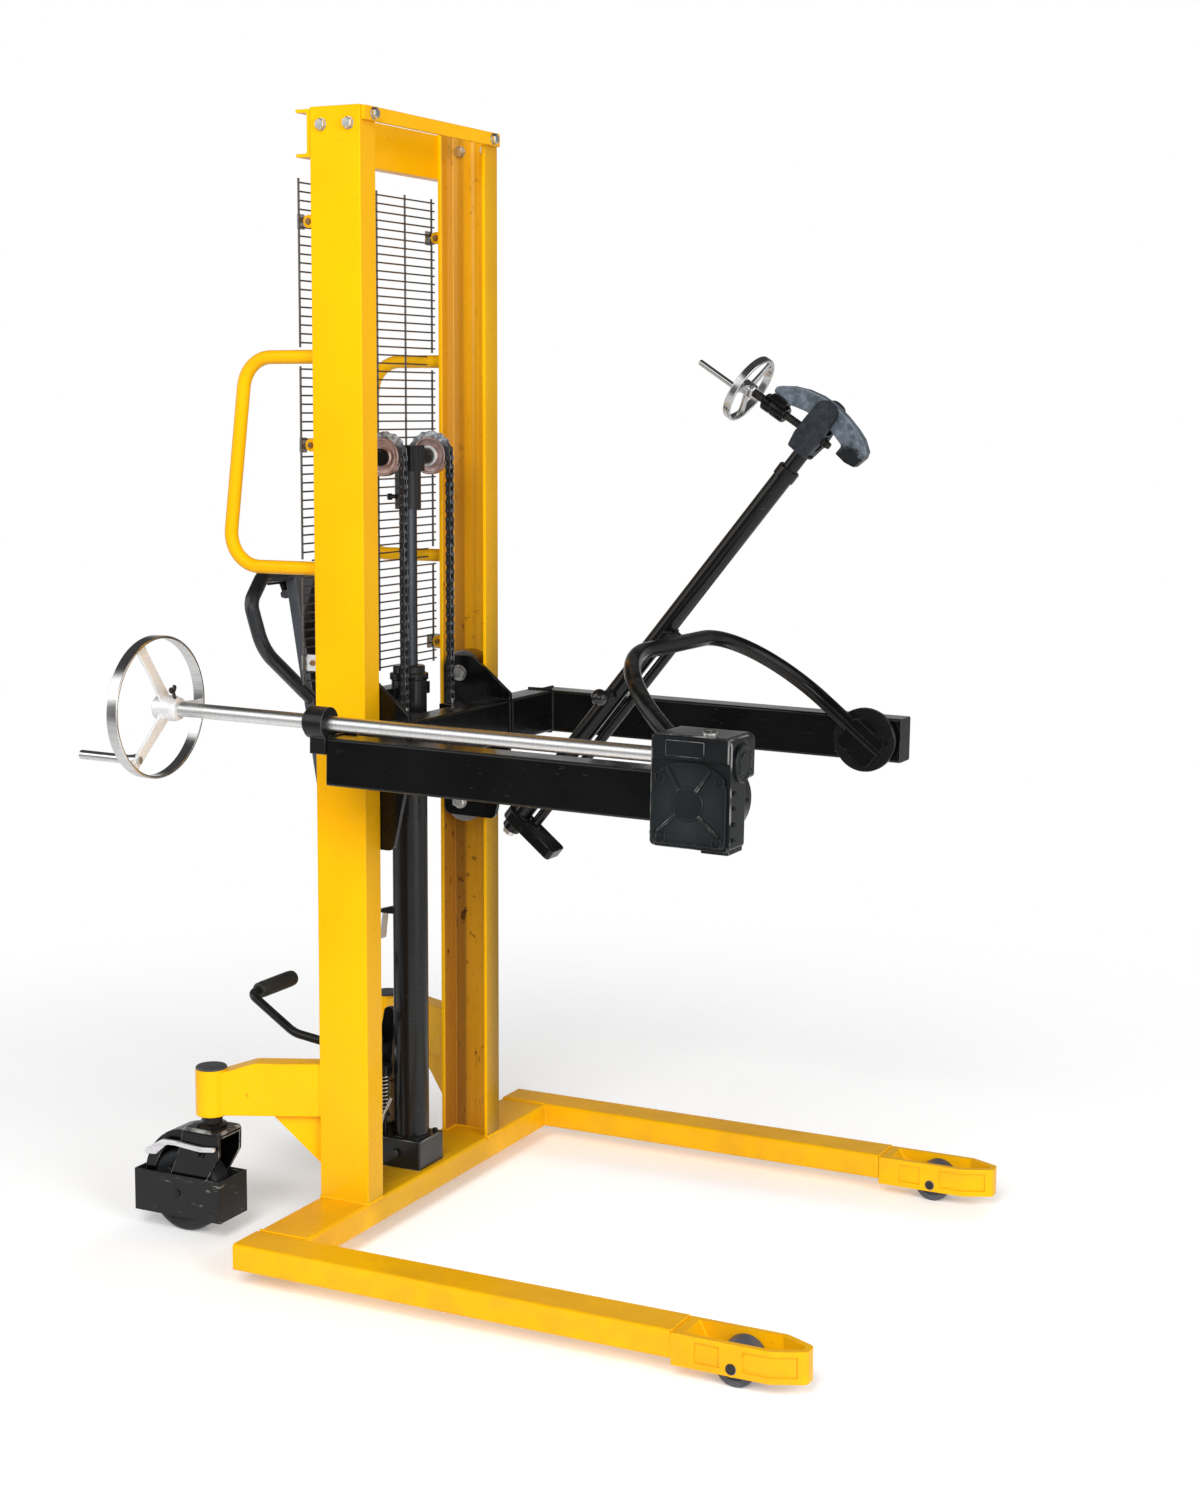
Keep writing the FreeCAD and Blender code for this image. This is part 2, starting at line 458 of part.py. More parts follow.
HOOP_REAR = POLE_X + POLE_R + HOOP_TUBE
hoop_path = [(38, -HOOP_Y, HOOP_Z), (HOOP_REAR, -HOOP_Y, HOOP_Z), (HOOP_REAR, HOOP_Y, HOOP_Z), (38, HOOP_Y, HOOP_Z)]
hoop = sweep(hoop_path, HOOP_BEND, HOOP_TUBE)
for s in (-1, 1):
    hoop = hoop.fuse(prism_y(rect(-34, 40, -30, 30), 10, *span(s, 299.5, 327.0)))
hoop = hoop.removeSplitter()
put("cradle_hoop", in_cradle(hoop))

sleeve = cyl_z(POLE_X, 0, POLE_R, -462, 372)
saddle = box(POLE_X + 6, POLE_X + 31, -24, 24, HOOP_Z - 13, HOOP_Z + 13).cut(hoop)
sleeve = sleeve.fuse([s for s in saddle.Solids if s.BoundBox.XMin < POLE_X + 12][0])
sleeve = sleeve.fuse(cyl((POLE_X, -10, PLUNGER_Z), (0, -1, 0), 10, 20))
foot = prism_z(rect(POLE_X - 24, POLE_X + 95, -24, 24), [20, 8, 8, 20], -446, -426)
strut = cyl_z(POLE_X + 31, 0, 9, -430, HOOP_Z - 4).cut(hoop)
strut = [s for s in strut.Solids if s.BoundBox.ZMin < -400][0]
sleeve = sleeve.fuse(foot).fuse(strut)
sleeve = sleeve.cut(cyl_z(POLE_X, 0, POLE_RI, -440, 400)).cut(cyl((POLE_X, 0, PLUNGER_Z), (0, -1, 0), 5.06, 60)).removeSplitter()
put("pole_sleeve", in_cradle(sleeve))

# ------------------------------------------------------------ plunger and pole
knob = cyl((POLE_X, -11.2, PLUNGER_Z), (0, -1, 0), 5.0, 32).fuse(Part.makeSphere(13, V(POLE_X, -52, PLUNGER_Z))).removeSplitter()
put("lock_plunger", in_cradle(knob))

pole = cyl_z(POLE_X, 0, 13.5, -400, 412).cut(cyl_z(POLE_X, 0, 9.5, -410, 395))
pole = pole.cut(box(POLE_X - 5.6, POLE_X + 5.6, -20, -10.6, -298, -94)).removeSplitter()
put("pole_tube", in_cradle(pole))

hd = prism_y([(-347, 405), (-311, 405), (-306, 436), (-309, 469), (-311, 505), (-349, 505), (-352, 462), (-352, 429)],
             [4, 4, 30, 30, 17, 17, 30, 30], -22, 22)
hd = hd.cut(box(-400, -260, -11, 11, 456, 540))
hd = hd.cut(prism_x(rect(-7.8, 7.8, 421, 453.5), 7.7, -400, -260))
hd = hd.cut(cyl_z(POLE_X, 0, 13.53, 380, 412)).cut(cyl_y(PIVOT[0], PIVOT[1], 7.03, -60, 60)).removeSplitter()
put("pole_head", in_cradle(hd))
pin = cyl_y(PIVOT[0], PIVOT[1], 7.0, -26, 26)
for s in (-1, 1):
    pin = pin.fuse(cyl_y(PIVOT[0], PIVOT[1], 11, *span(s, 22.0, 26.5)))
put("jaw_pin", in_cradle(pin.removeSplitter()))

# ------------------------------------------------------------ clamp jaw
jaw_out = [(-426, 455), (-426.5, 463), (-420.5, 469.5), (-405, 481.4), (-380.5, 493.6), (-354.8, 501.2), (-328.2, 504.1), (-300.9, 502.5),
           (-274, 497.9), (-254.9, 492.3), (-236.5, 480.7), (-233.2, 470), (-238, 447)]
jaw_in = [(-256.3, 442.6), (-277.5, 443.8), (-277, 460.4), (-305.4, 466.6), (-326.7, 467.8), (-361.2, 463.7), (-388.8, 454.5), (-402.9, 453), (-418.8, 451.6)]
jaw = prism_y(jaw_out + jaw_in, [2, 2, 3, 5, 6, 6, 6, 6, 6, 6, 4, 4, 4] + [3, 2.5, 4, 6, 6, 6, 6, 3, 2], -10, 10)
YPIN = (-411.0, 463.5)
jaw = jaw.cut(cyl_y(PIVOT[0], PIVOT[1], 7.05, -40, 40)).cut(cyl_y(YPIN[0], YPIN[1], 4.05, -40, 40))
put("clamp_jaw", in_cradle(jaw))

st = math.radians(SCREW_TILT)
sd = (math.cos(st), 0.0, math.sin(st))


def on_screw(s, y=0.0):
    return (SCREW_P[0] + s * sd[0], y, SCREW_P[1] + s * sd[2])


nut = cyl(on_screw(-92), sd, 15.0, 46)
for s in (-1, 1):
    nut = nut.fuse(prism_y([(-431, 418), (-392, 421), (-396, 466), (-408, 473), (-424, 471)], [4, 4, 6, 6, 6], *span(s, 10.2, 15.0)))
nut = nut.cut(box(-436, -380, -10.15, 10.15, 446.8, 500)).fuse(cyl_y(YPIN[0], YPIN[1], 4.0, -18, 18))
nut = nut.cut(cyl(on_screw(-200), sd, 7.06, 300)).removeSplitter()
put("clamp_yoke", in_cradle(nut))

screw = cyl(on_screw(-134), sd, 7.0, 180)
screw = screw.makeChamfer(1.5, circles(screw))
put("clamp_screw", in_cradle(screw))

w2 = cyl(on_screw(SCREW_HW - 11), sd, 12.5, 24)
w2 = w2.fuse(cyl(on_screw(SCREW_HW - 7), sd, 60, 14).cut(cyl(on_screw(SCREW_HW - 20), sd, 54.5, 40)))
for k in range(3):
    sp = box(-2.5, 2.5, -8, 8, 8, 57)
    sp.rotate(V(0, 0, 0), V(1, 0, 0), 120 * k + 90)
    sp.rotate(V(0, 0, 0), V(0, 1, 0), -SCREW_TILT)
    sp.translate(V(*on_screw(SCREW_HW)))
    w2 = w2.fuse(sp)
w2 = w2.fuse(cyl(on_screw(SCREW_HW - 80, -50.0), sd, 5.0, 80))
w2 = w2.cut(cyl(on_screw(-220), sd, 7.05, 120)).removeSplitter()
put("clamp_handwheel", in_cradle(w2))

# ------------------------------------------------------------ casters
fork = cyl_z(CAST_X, -CAST_Y, 16.0, 185, 299).fuse(cyl_z(CAST_X, -CAST_Y, 24, 185, 201.6))
fork = fork.fuse(prism_z(rect(-372, -252, -CAST_Y - 34, -CAST_Y + 34), [20, 16, 16, 20], 178, 190))
for s in (-1, 1):
    f0, f1 = span(s, 28.0, 34.0)
    fork = fork.fuse(prism_y([(-358, 182), (-260, 182), (-262, 140), (CWHEEL_X + 20, 56), (CWHEEL_X - 20, 56), (-364, 140)],
                             [0, 0, 14, 16, 16, 14], -CAST_Y + f0, -CAST_Y + f1))
    f0, f1 = span(s, 33.0, 39.0)
    fork = fork.fuse(cyl_y(CWHEEL_X, CWHEEL_R, 14.0, -CAST_Y + f0, -CAST_Y + f1))
fork = fork.fuse(cyl_y(CWHEEL_X, CWHEEL_R, 8.0, -CAST_Y - 44, -CAST_Y + 44))
guard = prism_z(rect(-430, -244, -CAST_Y - 42, -CAST_Y + 42), 2, 33, 108).cut(
    prism_z(rect(-426, -248, -CAST_Y - 38, -CAST_Y + 38), 1, 20, 120))
fork = fork.fuse(guard).fuse(cyl_y(BRAKE_X, BRAKE_Z, 5.0, -CAST_Y - 42, -CAST_Y - 33)).removeSplitter()
put("caster_fork_near", fork)
put("caster_fork_far", mirror_y(fork))

cw = cyl_y(CWHEEL_X, CWHEEL_R, CWHEEL_R, -CAST_Y - 23, -CAST_Y + 23)
cw = cw.makeFillet(7.0, circles(cw))
for y0, y1 in ((-CAST_Y - 30, -CAST_Y - 15), (-CAST_Y + 15, -CAST_Y + 30)):
    cw = cw.cut(cyl_y(CWHEEL_X, CWHEEL_R, 52, y0, y1).cut(cyl_y(CWHEEL_X, CWHEEL_R, 20, y0, y1)))
cw = cw.fuse(cyl_y(CWHEEL_X, CWHEEL_R, 20, -CAST_Y - 27, -CAST_Y + 27)).cut(cyl_y(CWHEEL_X, CWHEEL_R, 8.06, -CAST_Y - 60, -CAST_Y + 60)).removeSplitter()
put("caster_wheel_near", cw)
put("caster_wheel_far", mirror_y(cw))

lever = prism_y([(-300, 142), (-280, 146), (-282, 164), (-330, 171), (-380, 167), (-408, 148), (-404, 138), (-378, 150), (-330, 155)],
                [6, 6, 6, 20, 14, 2, 2, 14, 20], -CAST_Y - 41.5, -CAST_Y - 35.5)
lever = lever.fuse(prism_y([(-408, 148), (-404, 138), (-389, 146), (-392, 158)], 1.5, -CAST_Y - 41.5, -CAST_Y - 24))
lever = lever.cut(cyl_y(BRAKE_X, BRAKE_Z, 5.06, -400, -200)).removeSplitter()
put("brake_lever_near", lever)
put("brake_lever_far", mirror_y(lever))

# ------------------------------------------------------------ pedal
put("pedal_arm", sweep([(GRIP_X, -36, GRIP_Z), (GRIP_X, -170, GRIP_Z), (-196, -170, 344), (PEDAL_X, -170, PEDAL_Z), (PEDAL_X, -37, PEDAL_Z)],
                       [0, 14, 60, 14, 0], 8.0))
pg = cyl_y(GRIP_X, GRIP_Z, 15.0, -146, -32)
pg = pg.makeFillet(4.0, circles(pg)).cut(cyl_y(GRIP_X, GRIP_Z, 8.02, -158, -35))
for k in range(7):
    yk = -136 + 15 * k
    pg = pg.cut(cyl_y(GRIP_X, GRIP_Z, 16.0, yk, yk + 4).cut(cyl_y(GRIP_X, GRIP_Z, 13.6, yk - 1, yk + 5)))
put("pedal_grip", pg)

# ------------------------------------------------------------ tiller


def taper(x0, x1, ya, za, yb, zb):
    low = [(x0, -ya, za), (x1, -ya, za), (x1, ya, za), (x0, ya, za)]
    top = [(x0, -yb, zb), (x1, -yb, zb), (x1, yb, zb), (x0, yb, zb)]
    return Part.makeLoft([Part.makePolygon([V(*p) for p in q + q[:1]]) for q in (low, top)], True, True)


shaft = taper(-11, 11, 22, 4, 34, 876).cut(taper(4, 20, 17, 60, 29, 790))
loop_path = [(0, -12, 642), (0, -150, 752), (0, -168, 838), (0, -118, 884), (0, 118, 884), (0, 168, 838), (0, 150, 752), (0, 12, 642)]
loop = sweep(loop_path, [0, 90, 30, 34, 34, 30, 90, 0], 13.0)
tiller = cyl_y(0, 0, 15, -35.6, 35.6).fuse(shaft).fuse(loop)
for s in (-1, 1):
    tiller = tiller.fuse(cyl_y(RELEASE_X, RELEASE_W, 4.0, *span(s, 20, 33)))
    tiller = tiller.fuse(prism_y([(-8, RELEASE_W - 8), (-27, RELEASE_W - 6), (-27, RELEASE_W + 6), (-8, RELEASE_W + 8)], [0, 5, 5, 0], *span(s, 28, 33)))
tiller = tiller.cut(cyl_y(0, 0, 8.06, -60, 60)).removeSplitter()
put("tiller", in_tiller(tiller))

rel = cyl_y(RELEASE_X, RELEASE_W, 8.0, -27, 27)
rel = rel.fuse(prism_y([(-26.5, RELEASE_W + 2), (-17.5, RELEASE_W + 6.2), (-24.5, RELEASE_W + 28), (-32.5, RELEASE_W + 28)], [0, 0, 2, 2], -27, 27))
rel = rel.fuse(prism_y(rect(-32.5, -22.5, RELEASE_W + 20, RELEASE_W + 30), 3, -64, 64))
rel = rel.cut(cyl_y(RELEASE_X, RELEASE_W, 4.06, -50, 50)).removeSplitter()
put("release_lever", in_tiller(rel))

# ------------------------------------------------------------ write
os.makedirs("parts", exist_ok=True)
for old in os.listdir("parts"):
    if old.endswith(".step") and old[:-5] not in parts:
        os.remove(os.path.join("parts", old))
low, high = V(1e9, 1e9, 1e9), V(-1e9, -1e9, -1e9)
for name, shapes in parts.items():
    solids = []
    for s in shapes:
        solids.extend(s.Solids)
    shape = (solids[0] if len(solids) == 1 else Part.makeCompound(solids)).copy()
    b = shape.optimalBoundingBox()
    low = V(min(low.x, b.XMin), min(low.y, b.YMin), min(low.z, b.ZMin))
    high = V(max(high.x, b.XMax), max(high.y, b.YMax), max(high.z, b.ZMax))
    shape.translate(V(-ORIGIN_X, -ORIGIN_Y, 0))
    print("%-24s %2d solids %9.1f cm3 %s" % (name, len(solids), shape.Volume / 1000.0, "" if shape.isValid() else "INVALID"))
    shape.exportStep("parts/%s.step" % name)
print(len(parts), "nodes", low, high, "centre", (low + high) * 0.5)
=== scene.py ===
import bpy
import bmesh
import json
import math
import random
from mathutils import Matrix, Vector
from mathutils.geometry import tessellate_polygon
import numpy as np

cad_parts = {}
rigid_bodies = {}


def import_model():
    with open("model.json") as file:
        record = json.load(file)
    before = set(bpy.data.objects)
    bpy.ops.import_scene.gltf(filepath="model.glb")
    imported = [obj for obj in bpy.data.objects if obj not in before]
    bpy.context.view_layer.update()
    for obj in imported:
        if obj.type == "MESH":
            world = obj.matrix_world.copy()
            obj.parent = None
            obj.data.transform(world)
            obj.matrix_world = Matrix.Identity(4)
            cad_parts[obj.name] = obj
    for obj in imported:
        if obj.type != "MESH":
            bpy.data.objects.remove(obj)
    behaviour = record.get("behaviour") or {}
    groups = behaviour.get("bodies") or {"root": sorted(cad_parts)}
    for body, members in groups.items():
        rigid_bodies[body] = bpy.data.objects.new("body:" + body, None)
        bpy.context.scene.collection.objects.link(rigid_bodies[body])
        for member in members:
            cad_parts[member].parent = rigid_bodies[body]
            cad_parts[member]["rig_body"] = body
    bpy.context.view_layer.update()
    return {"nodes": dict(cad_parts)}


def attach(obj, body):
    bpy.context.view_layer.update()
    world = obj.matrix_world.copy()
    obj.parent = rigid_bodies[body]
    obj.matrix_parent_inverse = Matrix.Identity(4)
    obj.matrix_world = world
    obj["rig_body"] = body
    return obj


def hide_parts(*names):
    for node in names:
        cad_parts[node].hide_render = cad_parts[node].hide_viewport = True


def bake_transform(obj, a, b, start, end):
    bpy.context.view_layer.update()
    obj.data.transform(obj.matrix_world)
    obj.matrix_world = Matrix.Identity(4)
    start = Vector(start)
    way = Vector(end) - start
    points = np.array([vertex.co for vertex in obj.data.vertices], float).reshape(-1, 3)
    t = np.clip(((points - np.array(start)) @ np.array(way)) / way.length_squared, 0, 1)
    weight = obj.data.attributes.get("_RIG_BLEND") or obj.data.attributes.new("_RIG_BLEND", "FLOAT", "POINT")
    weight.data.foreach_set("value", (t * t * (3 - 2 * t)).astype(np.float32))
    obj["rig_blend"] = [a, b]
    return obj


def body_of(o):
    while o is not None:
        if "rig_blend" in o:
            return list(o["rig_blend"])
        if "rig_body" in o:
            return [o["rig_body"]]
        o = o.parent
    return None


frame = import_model()
NODES = frame["nodes"]
rnd = random.Random(11)

# Frames: millimetres of the machine, its arms, its cradle and its tiller, to
# metres of the row frame.
M0 = Matrix.Scale(0.001, 4) @ Matrix.Translation((-241.343, 5.75, 0.0))
TRUNNION = Matrix.Translation((700.0, 0.0, 873.0))
ARM = M0 @ TRUNNION @ Matrix.Rotation(math.radians(1.0), 4, "Y")
CRADLE = M0 @ TRUNNION @ Matrix.Rotation(math.radians(39.2), 4, "Y")
TILLER = M0 @ Matrix.Translation((-150.0, 0.0, 290.0)) @ Matrix.Rotation(math.radians(-9.0), 4, "Y")
ON_Y = Matrix(((1, 0, 0, 0), (0, 0, 1, 0), (0, 1, 0, 0), (0, 0, 0, 1)))   # outline in xz, depth along y
ON_X = Matrix(((0, 0, 1, 0), (1, 0, 0, 0), (0, 1, 0, 0), (0, 0, 0, 1)))   # outline in yz, depth along x
FLIP_Y = Matrix.Scale(-1.0, 4, (0, 1, 0))


# ------------------------------------------------------------ materials
class Graph:
    """Node material with a Principled shader on object coordinates."""

    def __init__(self, name):
        self.mat = bpy.data.materials.new(name)
        self.mat.use_nodes = True
        self.tree = self.mat.node_tree
        self.tree.nodes.clear()
        out = self.new("ShaderNodeOutputMaterial")
        self.bsdf = self.new("ShaderNodeBsdfPrincipled")
        self.link(self.bsdf.outputs[0], out.inputs[0])
        self.where = self.new("ShaderNodeTexCoord").outputs["Object"]

    def new(self, kind, **props):
        n = self.tree.nodes.new(kind)
        for k, v in props.items():
            setattr(n, k, v)
        return n

    def link(self, a, b):
        self.tree.links.new(a, b)

    def put(self, socket, value):
        if isinstance(value, bpy.types.NodeSocket):
            self.link(value, socket)
        else:
            socket.default_value = value

    def base(self, **values):
        for k, v in values.items():
            self.put(self.bsdf.inputs[k.replace("_", " ")], v)
        return self

    def stretch(self, x, y, z):
        n = self.new("ShaderNodeVectorMath", operation="MULTIPLY")
        self.link(self.where, n.inputs[0])
        n.inputs[1].default_value = (x, y, z)
        return n.outputs[0]

    def noise(self, scale, detail=3.0, rough=0.55, where=None):
        n = self.new("ShaderNodeTexNoise")
        self.link(where or self.where, n.inputs["Vector"])
        n.inputs["Scale"].default_value = scale
        n.inputs["Detail"].default_value = detail
        n.inputs["Roughness"].default_value = rough
        return n.outputs["Fac"]

    def span(self, v, a, b, c=0.0, d=1.0):
        n = self.new("ShaderNodeMapRange", interpolation_type="SMOOTHSTEP")
        self.put(n.inputs["Value"], v)
        for k, x in (("From Min", a), ("From Max", b), ("To Min", c), ("To Max", d)):
            n.inputs[k].default_value = x
        return n.outputs["Result"]

    def math(self, op, a, b=0.0):
        n = self.new("ShaderNodeMath", operation=op)
        self.put(n.inputs[0], a)
        self.put(n.inputs[1], b)
        return n.outputs[0]

    def times(self, *values):
        v = values[0]
        for w in values[1:]:
            v = self.math("MULTIPLY", v, w)
        return v

    def mix(self, f, a, b):
        n = self.new("ShaderNodeMix", data_type="RGBA")
        self.put(n.inputs[0], f)
        for s, v in ((n.inputs[6], a), (n.inputs[7], b)):
            self.put(s, (*v, 1.0) if isinstance(v, tuple) and len(v) == 3 else v)
        return n.outputs[2]

    def axes(self):
        n = self.new("ShaderNodeSeparateXYZ")
        self.link(self.where, n.inputs[0])
        return n.outputs

    def edge(self):
        return self.new("ShaderNodeAttribute", attribute_name="edge").outputs["Fac"]

    def up(self):
        n = self.new("ShaderNodeSeparateXYZ")
        self.link(self.new("ShaderNodeNewGeometry").outputs["Normal"], n.inputs[0])
        return n.outputs[2]

    def bump(self, height, strength, distance=0.001, below=None):
        n = self.new("ShaderNodeBump")
        n.inputs["Strength"].default_value = strength
        n.inputs["Distance"].default_value = distance
        self.link(height, n.inputs["Height"])
        if below is not None:
            self.link(below, n.inputs["Normal"])
        return n.outputs["Normal"]


def yellow(name, channel=False):
    """Gloss yellow enamel with painted shade on its upward faces and on the beam between the uprights; inside the mast
    channels it is scuffed by the rollers, with painted shade by the rear flange and on the far upright's front face.
    """
    g = Graph(name)
    col = g.mix(g.span(g.noise(2.4, 2.0), 0.35, 0.68), (0.97, 0.505, 0.0008), (0.90, 0.430, 0.0009))
    x, y, z = g.axes()
    col = g.mix(g.span(z, 0.12, 0.06, 0.0, 0.30), col, (0.62, 0.320, 0.0030))
    # painted shade on the beam between the uprights, by the cylinder's foot
    col = g.mix(g.times(g.span(z, 0.10, 0.06), g.span(x, -0.200, -0.250), g.span(g.math("ABSOLUTE", y, 0.0), 0.25, 0.17), 0.40), col, (0.30, 0.170, 0.0080))
    # painted shade: faces that look upward are darker
    col = g.mix(g.span(g.up(), 0.60, 0.95, 0.0, 0.25), col, (0.58, 0.300, 0.0050))
    low = g.times(g.span(z, 0.02, 0.16, 0.34, 0.0), g.span(g.noise(14.0, 4.0), 0.35, 0.65))
    col = g.mix(low, col, (0.50, 0.25, 0.02))
    spots = g.times(g.span(g.noise(95.0, 4.0, 0.6), 0.665, 0.72), g.span(g.noise(9.0, 3.0), 0.45, 0.62), 0.55)
    col = g.mix(spots, col, (0.34, 0.15, 0.012))
    edge_mark = g.times(g.edge(), g.span(g.noise(26.0, 4.0), 0.42, 0.62), 0.55)
    col = g.mix(edge_mark, col, (0.58, 0.27, 0.012))
    rough = g.span(g.noise(11.0, 4.0), 0.3, 0.7, 0.22, 0.38)
    if channel:
        side = g.math("ABSOLUTE", g.math("SUBTRACT", y, 0.00575))
        inner = g.times(g.span(side, 0.2318, 0.2300, 0.0, 1.0), g.span(x, -0.3350, -0.3338, 0.0, 1.0), g.span(x, -0.2474, -0.2486, 0.0, 1.0))
        down = g.span(z, 1.60, 0.35)
        track = g.span(g.noise(1.0, 4.0, 0.6, g.stretch(70.0, 90.0, 1.3)), 0.40, 0.66)
        polish = g.span(g.noise(1.0, 2.0, 0.5, g.stretch(95.0, 95.0, 0.35)), 0.48, 0.62)
        col = g.mix(g.times(inner, g.span(down, 0.0, 1.0, 0.25, 0.60)), col, (0.62, 0.285, 0.028))
        col = g.mix(g.times(inner, track, 0.30), col, (0.45, 0.19, 0.015))
        col = g.mix(g.times(inner, polish, g.span(down, 0.0, 1.0, 0.50, 0.15)), col, (0.95, 0.62, 0.150))
        face = g.new("ShaderNodeSeparateXYZ")
        g.link(g.new("ShaderNodeNewGeometry").outputs["Normal"], face.inputs[0])
        flank = g.span(face.outputs[0], 0.4, 0.8)
        # painted shade: the web is darker beside the rear flange, in the corner
        corner = g.times(inner, g.span(flank, 0.6, 0.2), g.span(x, -0.3070, -0.3150), g.span(down, 0.0, 1.0, 0.55, 0.85))
        col = g.mix(corner, col, (0.27, 0.115, 0.020))
        # painted shade on the rear flange's inner face, deeper lower down
        col = g.mix(g.times(inner, flank, g.span(down, 0.0, 1.0, 0.35, 0.80)), col, (0.34, 0.135, 0.018))
        drag = g.times(g.span(g.noise(1.0, 5.0, 0.7, g.stretch(240.0, 260.0, 26.0)), 0.59, 0.67),
                       g.span(g.noise(1.0, 2.0, 0.5, g.stretch(30.0, 30.0, 6.0)), 0.46, 0.58))
        col = g.mix(g.times(inner, drag, g.span(down, 0.1, 0.6, 0.25, 0.85)), col, (0.060, 0.020, 0.006))
        rust = g.times(g.span(g.noise(52.0, 5.0, 0.6), 0.60, 0.66), g.span(g.noise(6.0, 2.0), 0.46, 0.56), inner, g.span(down, 0.05, 0.6, 0.3, 1.0))
        col = g.mix(g.times(rust, 0.9), col, (0.040, 0.015, 0.007))
        # painted shade on the far upright's front face, deeper towards the outside and the bottom
        far_face_painted_shade = g.times(flank, g.span(x, -0.2430, -0.2422), g.span(y, 0.150, 0.246, 0.30, 1.0), g.span(down, 0.0, 1.0, 0.45, 1.0))
        col = g.mix(far_face_painted_shade, col, (0.24, 0.130, 0.014))
        rough = g.math("ADD", rough, g.times(inner, track, 0.22))
    g.base(Base_Color=col, Roughness=rough, Coat_Weight=0.10, Coat_Roughness=0.10, Specular_IOR_Level=0.10,
           Normal=g.bump(g.noise(420.0, 2.0), 0.05, 0.0006, g.bump(g.noise(38.0, 2.0), 0.03, 0.002)))
    return g.mat


def black(name, dark=0.0016, pale=0.0036, gloss=0.20, dull=0.32, coat=0.40, dusty=0.35, shine=0.10, scrape=0.0, tint=(1.0, 1.04, 1.07), edge_rub_and_highlight=0.50, edge_bare_and_highlight_tone=0.128):
    """Black enamel with worn edges, which raised edge values turn into painted edge highlights, dust on the upper faces
    and scrapes.
    """
    g = Graph(name)
    col = g.mix(g.span(g.noise(5.0, 3.0), 0.35, 0.68), tuple(dark * t for t in tint), tuple(pale * t for t in tint))
    dust = g.times(g.span(g.up(), 0.55, 0.98), g.span(g.noise(22.0, 5.0), 0.36, 0.66), dusty)
    col = g.mix(dust, col, (0.070, 0.068, 0.062))
    rub = g.times(g.span(g.noise(1.0, 5.0, 0.65, g.stretch(34.0, 34.0, 150.0)), 0.62, 0.72), g.span(g.noise(7.0, 2.0), 0.46, 0.62), 0.30)
    col = g.mix(rub, col, (0.10, 0.10, 0.10))
    # worn edges; raised values lighten them further as painted edge highlights
    edge_mark = g.times(g.edge(), g.span(g.noise(31.0, 4.0), 0.40, 0.64), edge_rub_and_highlight)
    col = g.mix(edge_mark, col, (edge_bare_and_highlight_tone * 1.01, edge_bare_and_highlight_tone, edge_bare_and_highlight_tone * 0.96))
    if scrape:
        mark = g.times(g.span(g.noise(1.0, 5.0, 0.7, g.stretch(26.0, 26.0, 190.0)), 0.585, 0.66), g.span(g.noise(1.0, 2.0, 0.5, g.stretch(13.0, 13.0, 26.0)), 0.50, 0.60), scrape)
        col = g.mix(mark, col, (0.30, 0.31, 0.24))
    rough = g.math("ADD", g.span(g.noise(13.0, 4.0), 0.3, 0.7, gloss, dull), g.times(dust, 0.25))
    g.base(Base_Color=col, Roughness=rough, Coat_Weight=coat, Coat_Roughness=0.12, Specular_IOR_Level=shine,
           Normal=g.bump(g.noise(380.0, 2.0), 0.05, 0.0006))
    return g.mat


def metal(name, one, two, gloss, dull, lines=(300.0, 300.0, 300.0), groove=0.05, tarnish=(0.30, 0.27, 0.22), stain=0.25, metallic=1.0, top_highlight=None):
    """Plated or turned steel with fine tool lines and a little tarnish; top_highlight is (tone, from height, to height)
    of a painted highlight above that height.
    """
    g = Graph(name)
    fine = g.noise(1.0, 3.0, 0.6, g.stretch(*lines))
    col = g.mix(g.span(fine, 0.3, 0.7), one, two)
    # painted highlight: a lighter tone above the given height
    if top_highlight is not None:
        col = g.mix(g.times(g.span(g.axes()[2], top_highlight[1], top_highlight[2]), g.span(g.noise(110.0, 3.0), 0.36, 0.62, 0.25, 1.0)), col, top_highlight[0])
    spots = g.times(g.span(g.noise(60.0, 5.0, 0.6), 0.55, 0.72), g.span(g.noise(8.0, 3.0), 0.42, 0.64), stain)
    col = g.mix(spots, col, tarnish)
    edge_mark = g.times(g.edge(), g.span(g.noise(40.0, 3.0), 0.4, 0.6), 0.35)
    col = g.mix(edge_mark, col, (0.80, 0.79, 0.77))
    rough = g.math("ADD", g.span(fine, 0.25, 0.75, gloss, dull), g.times(spots, 0.35))
    g.base(Base_Color=col, Metallic=metallic, Roughness=rough, Normal=g.bump(fine, groove, 0.0004))
    return g.mat


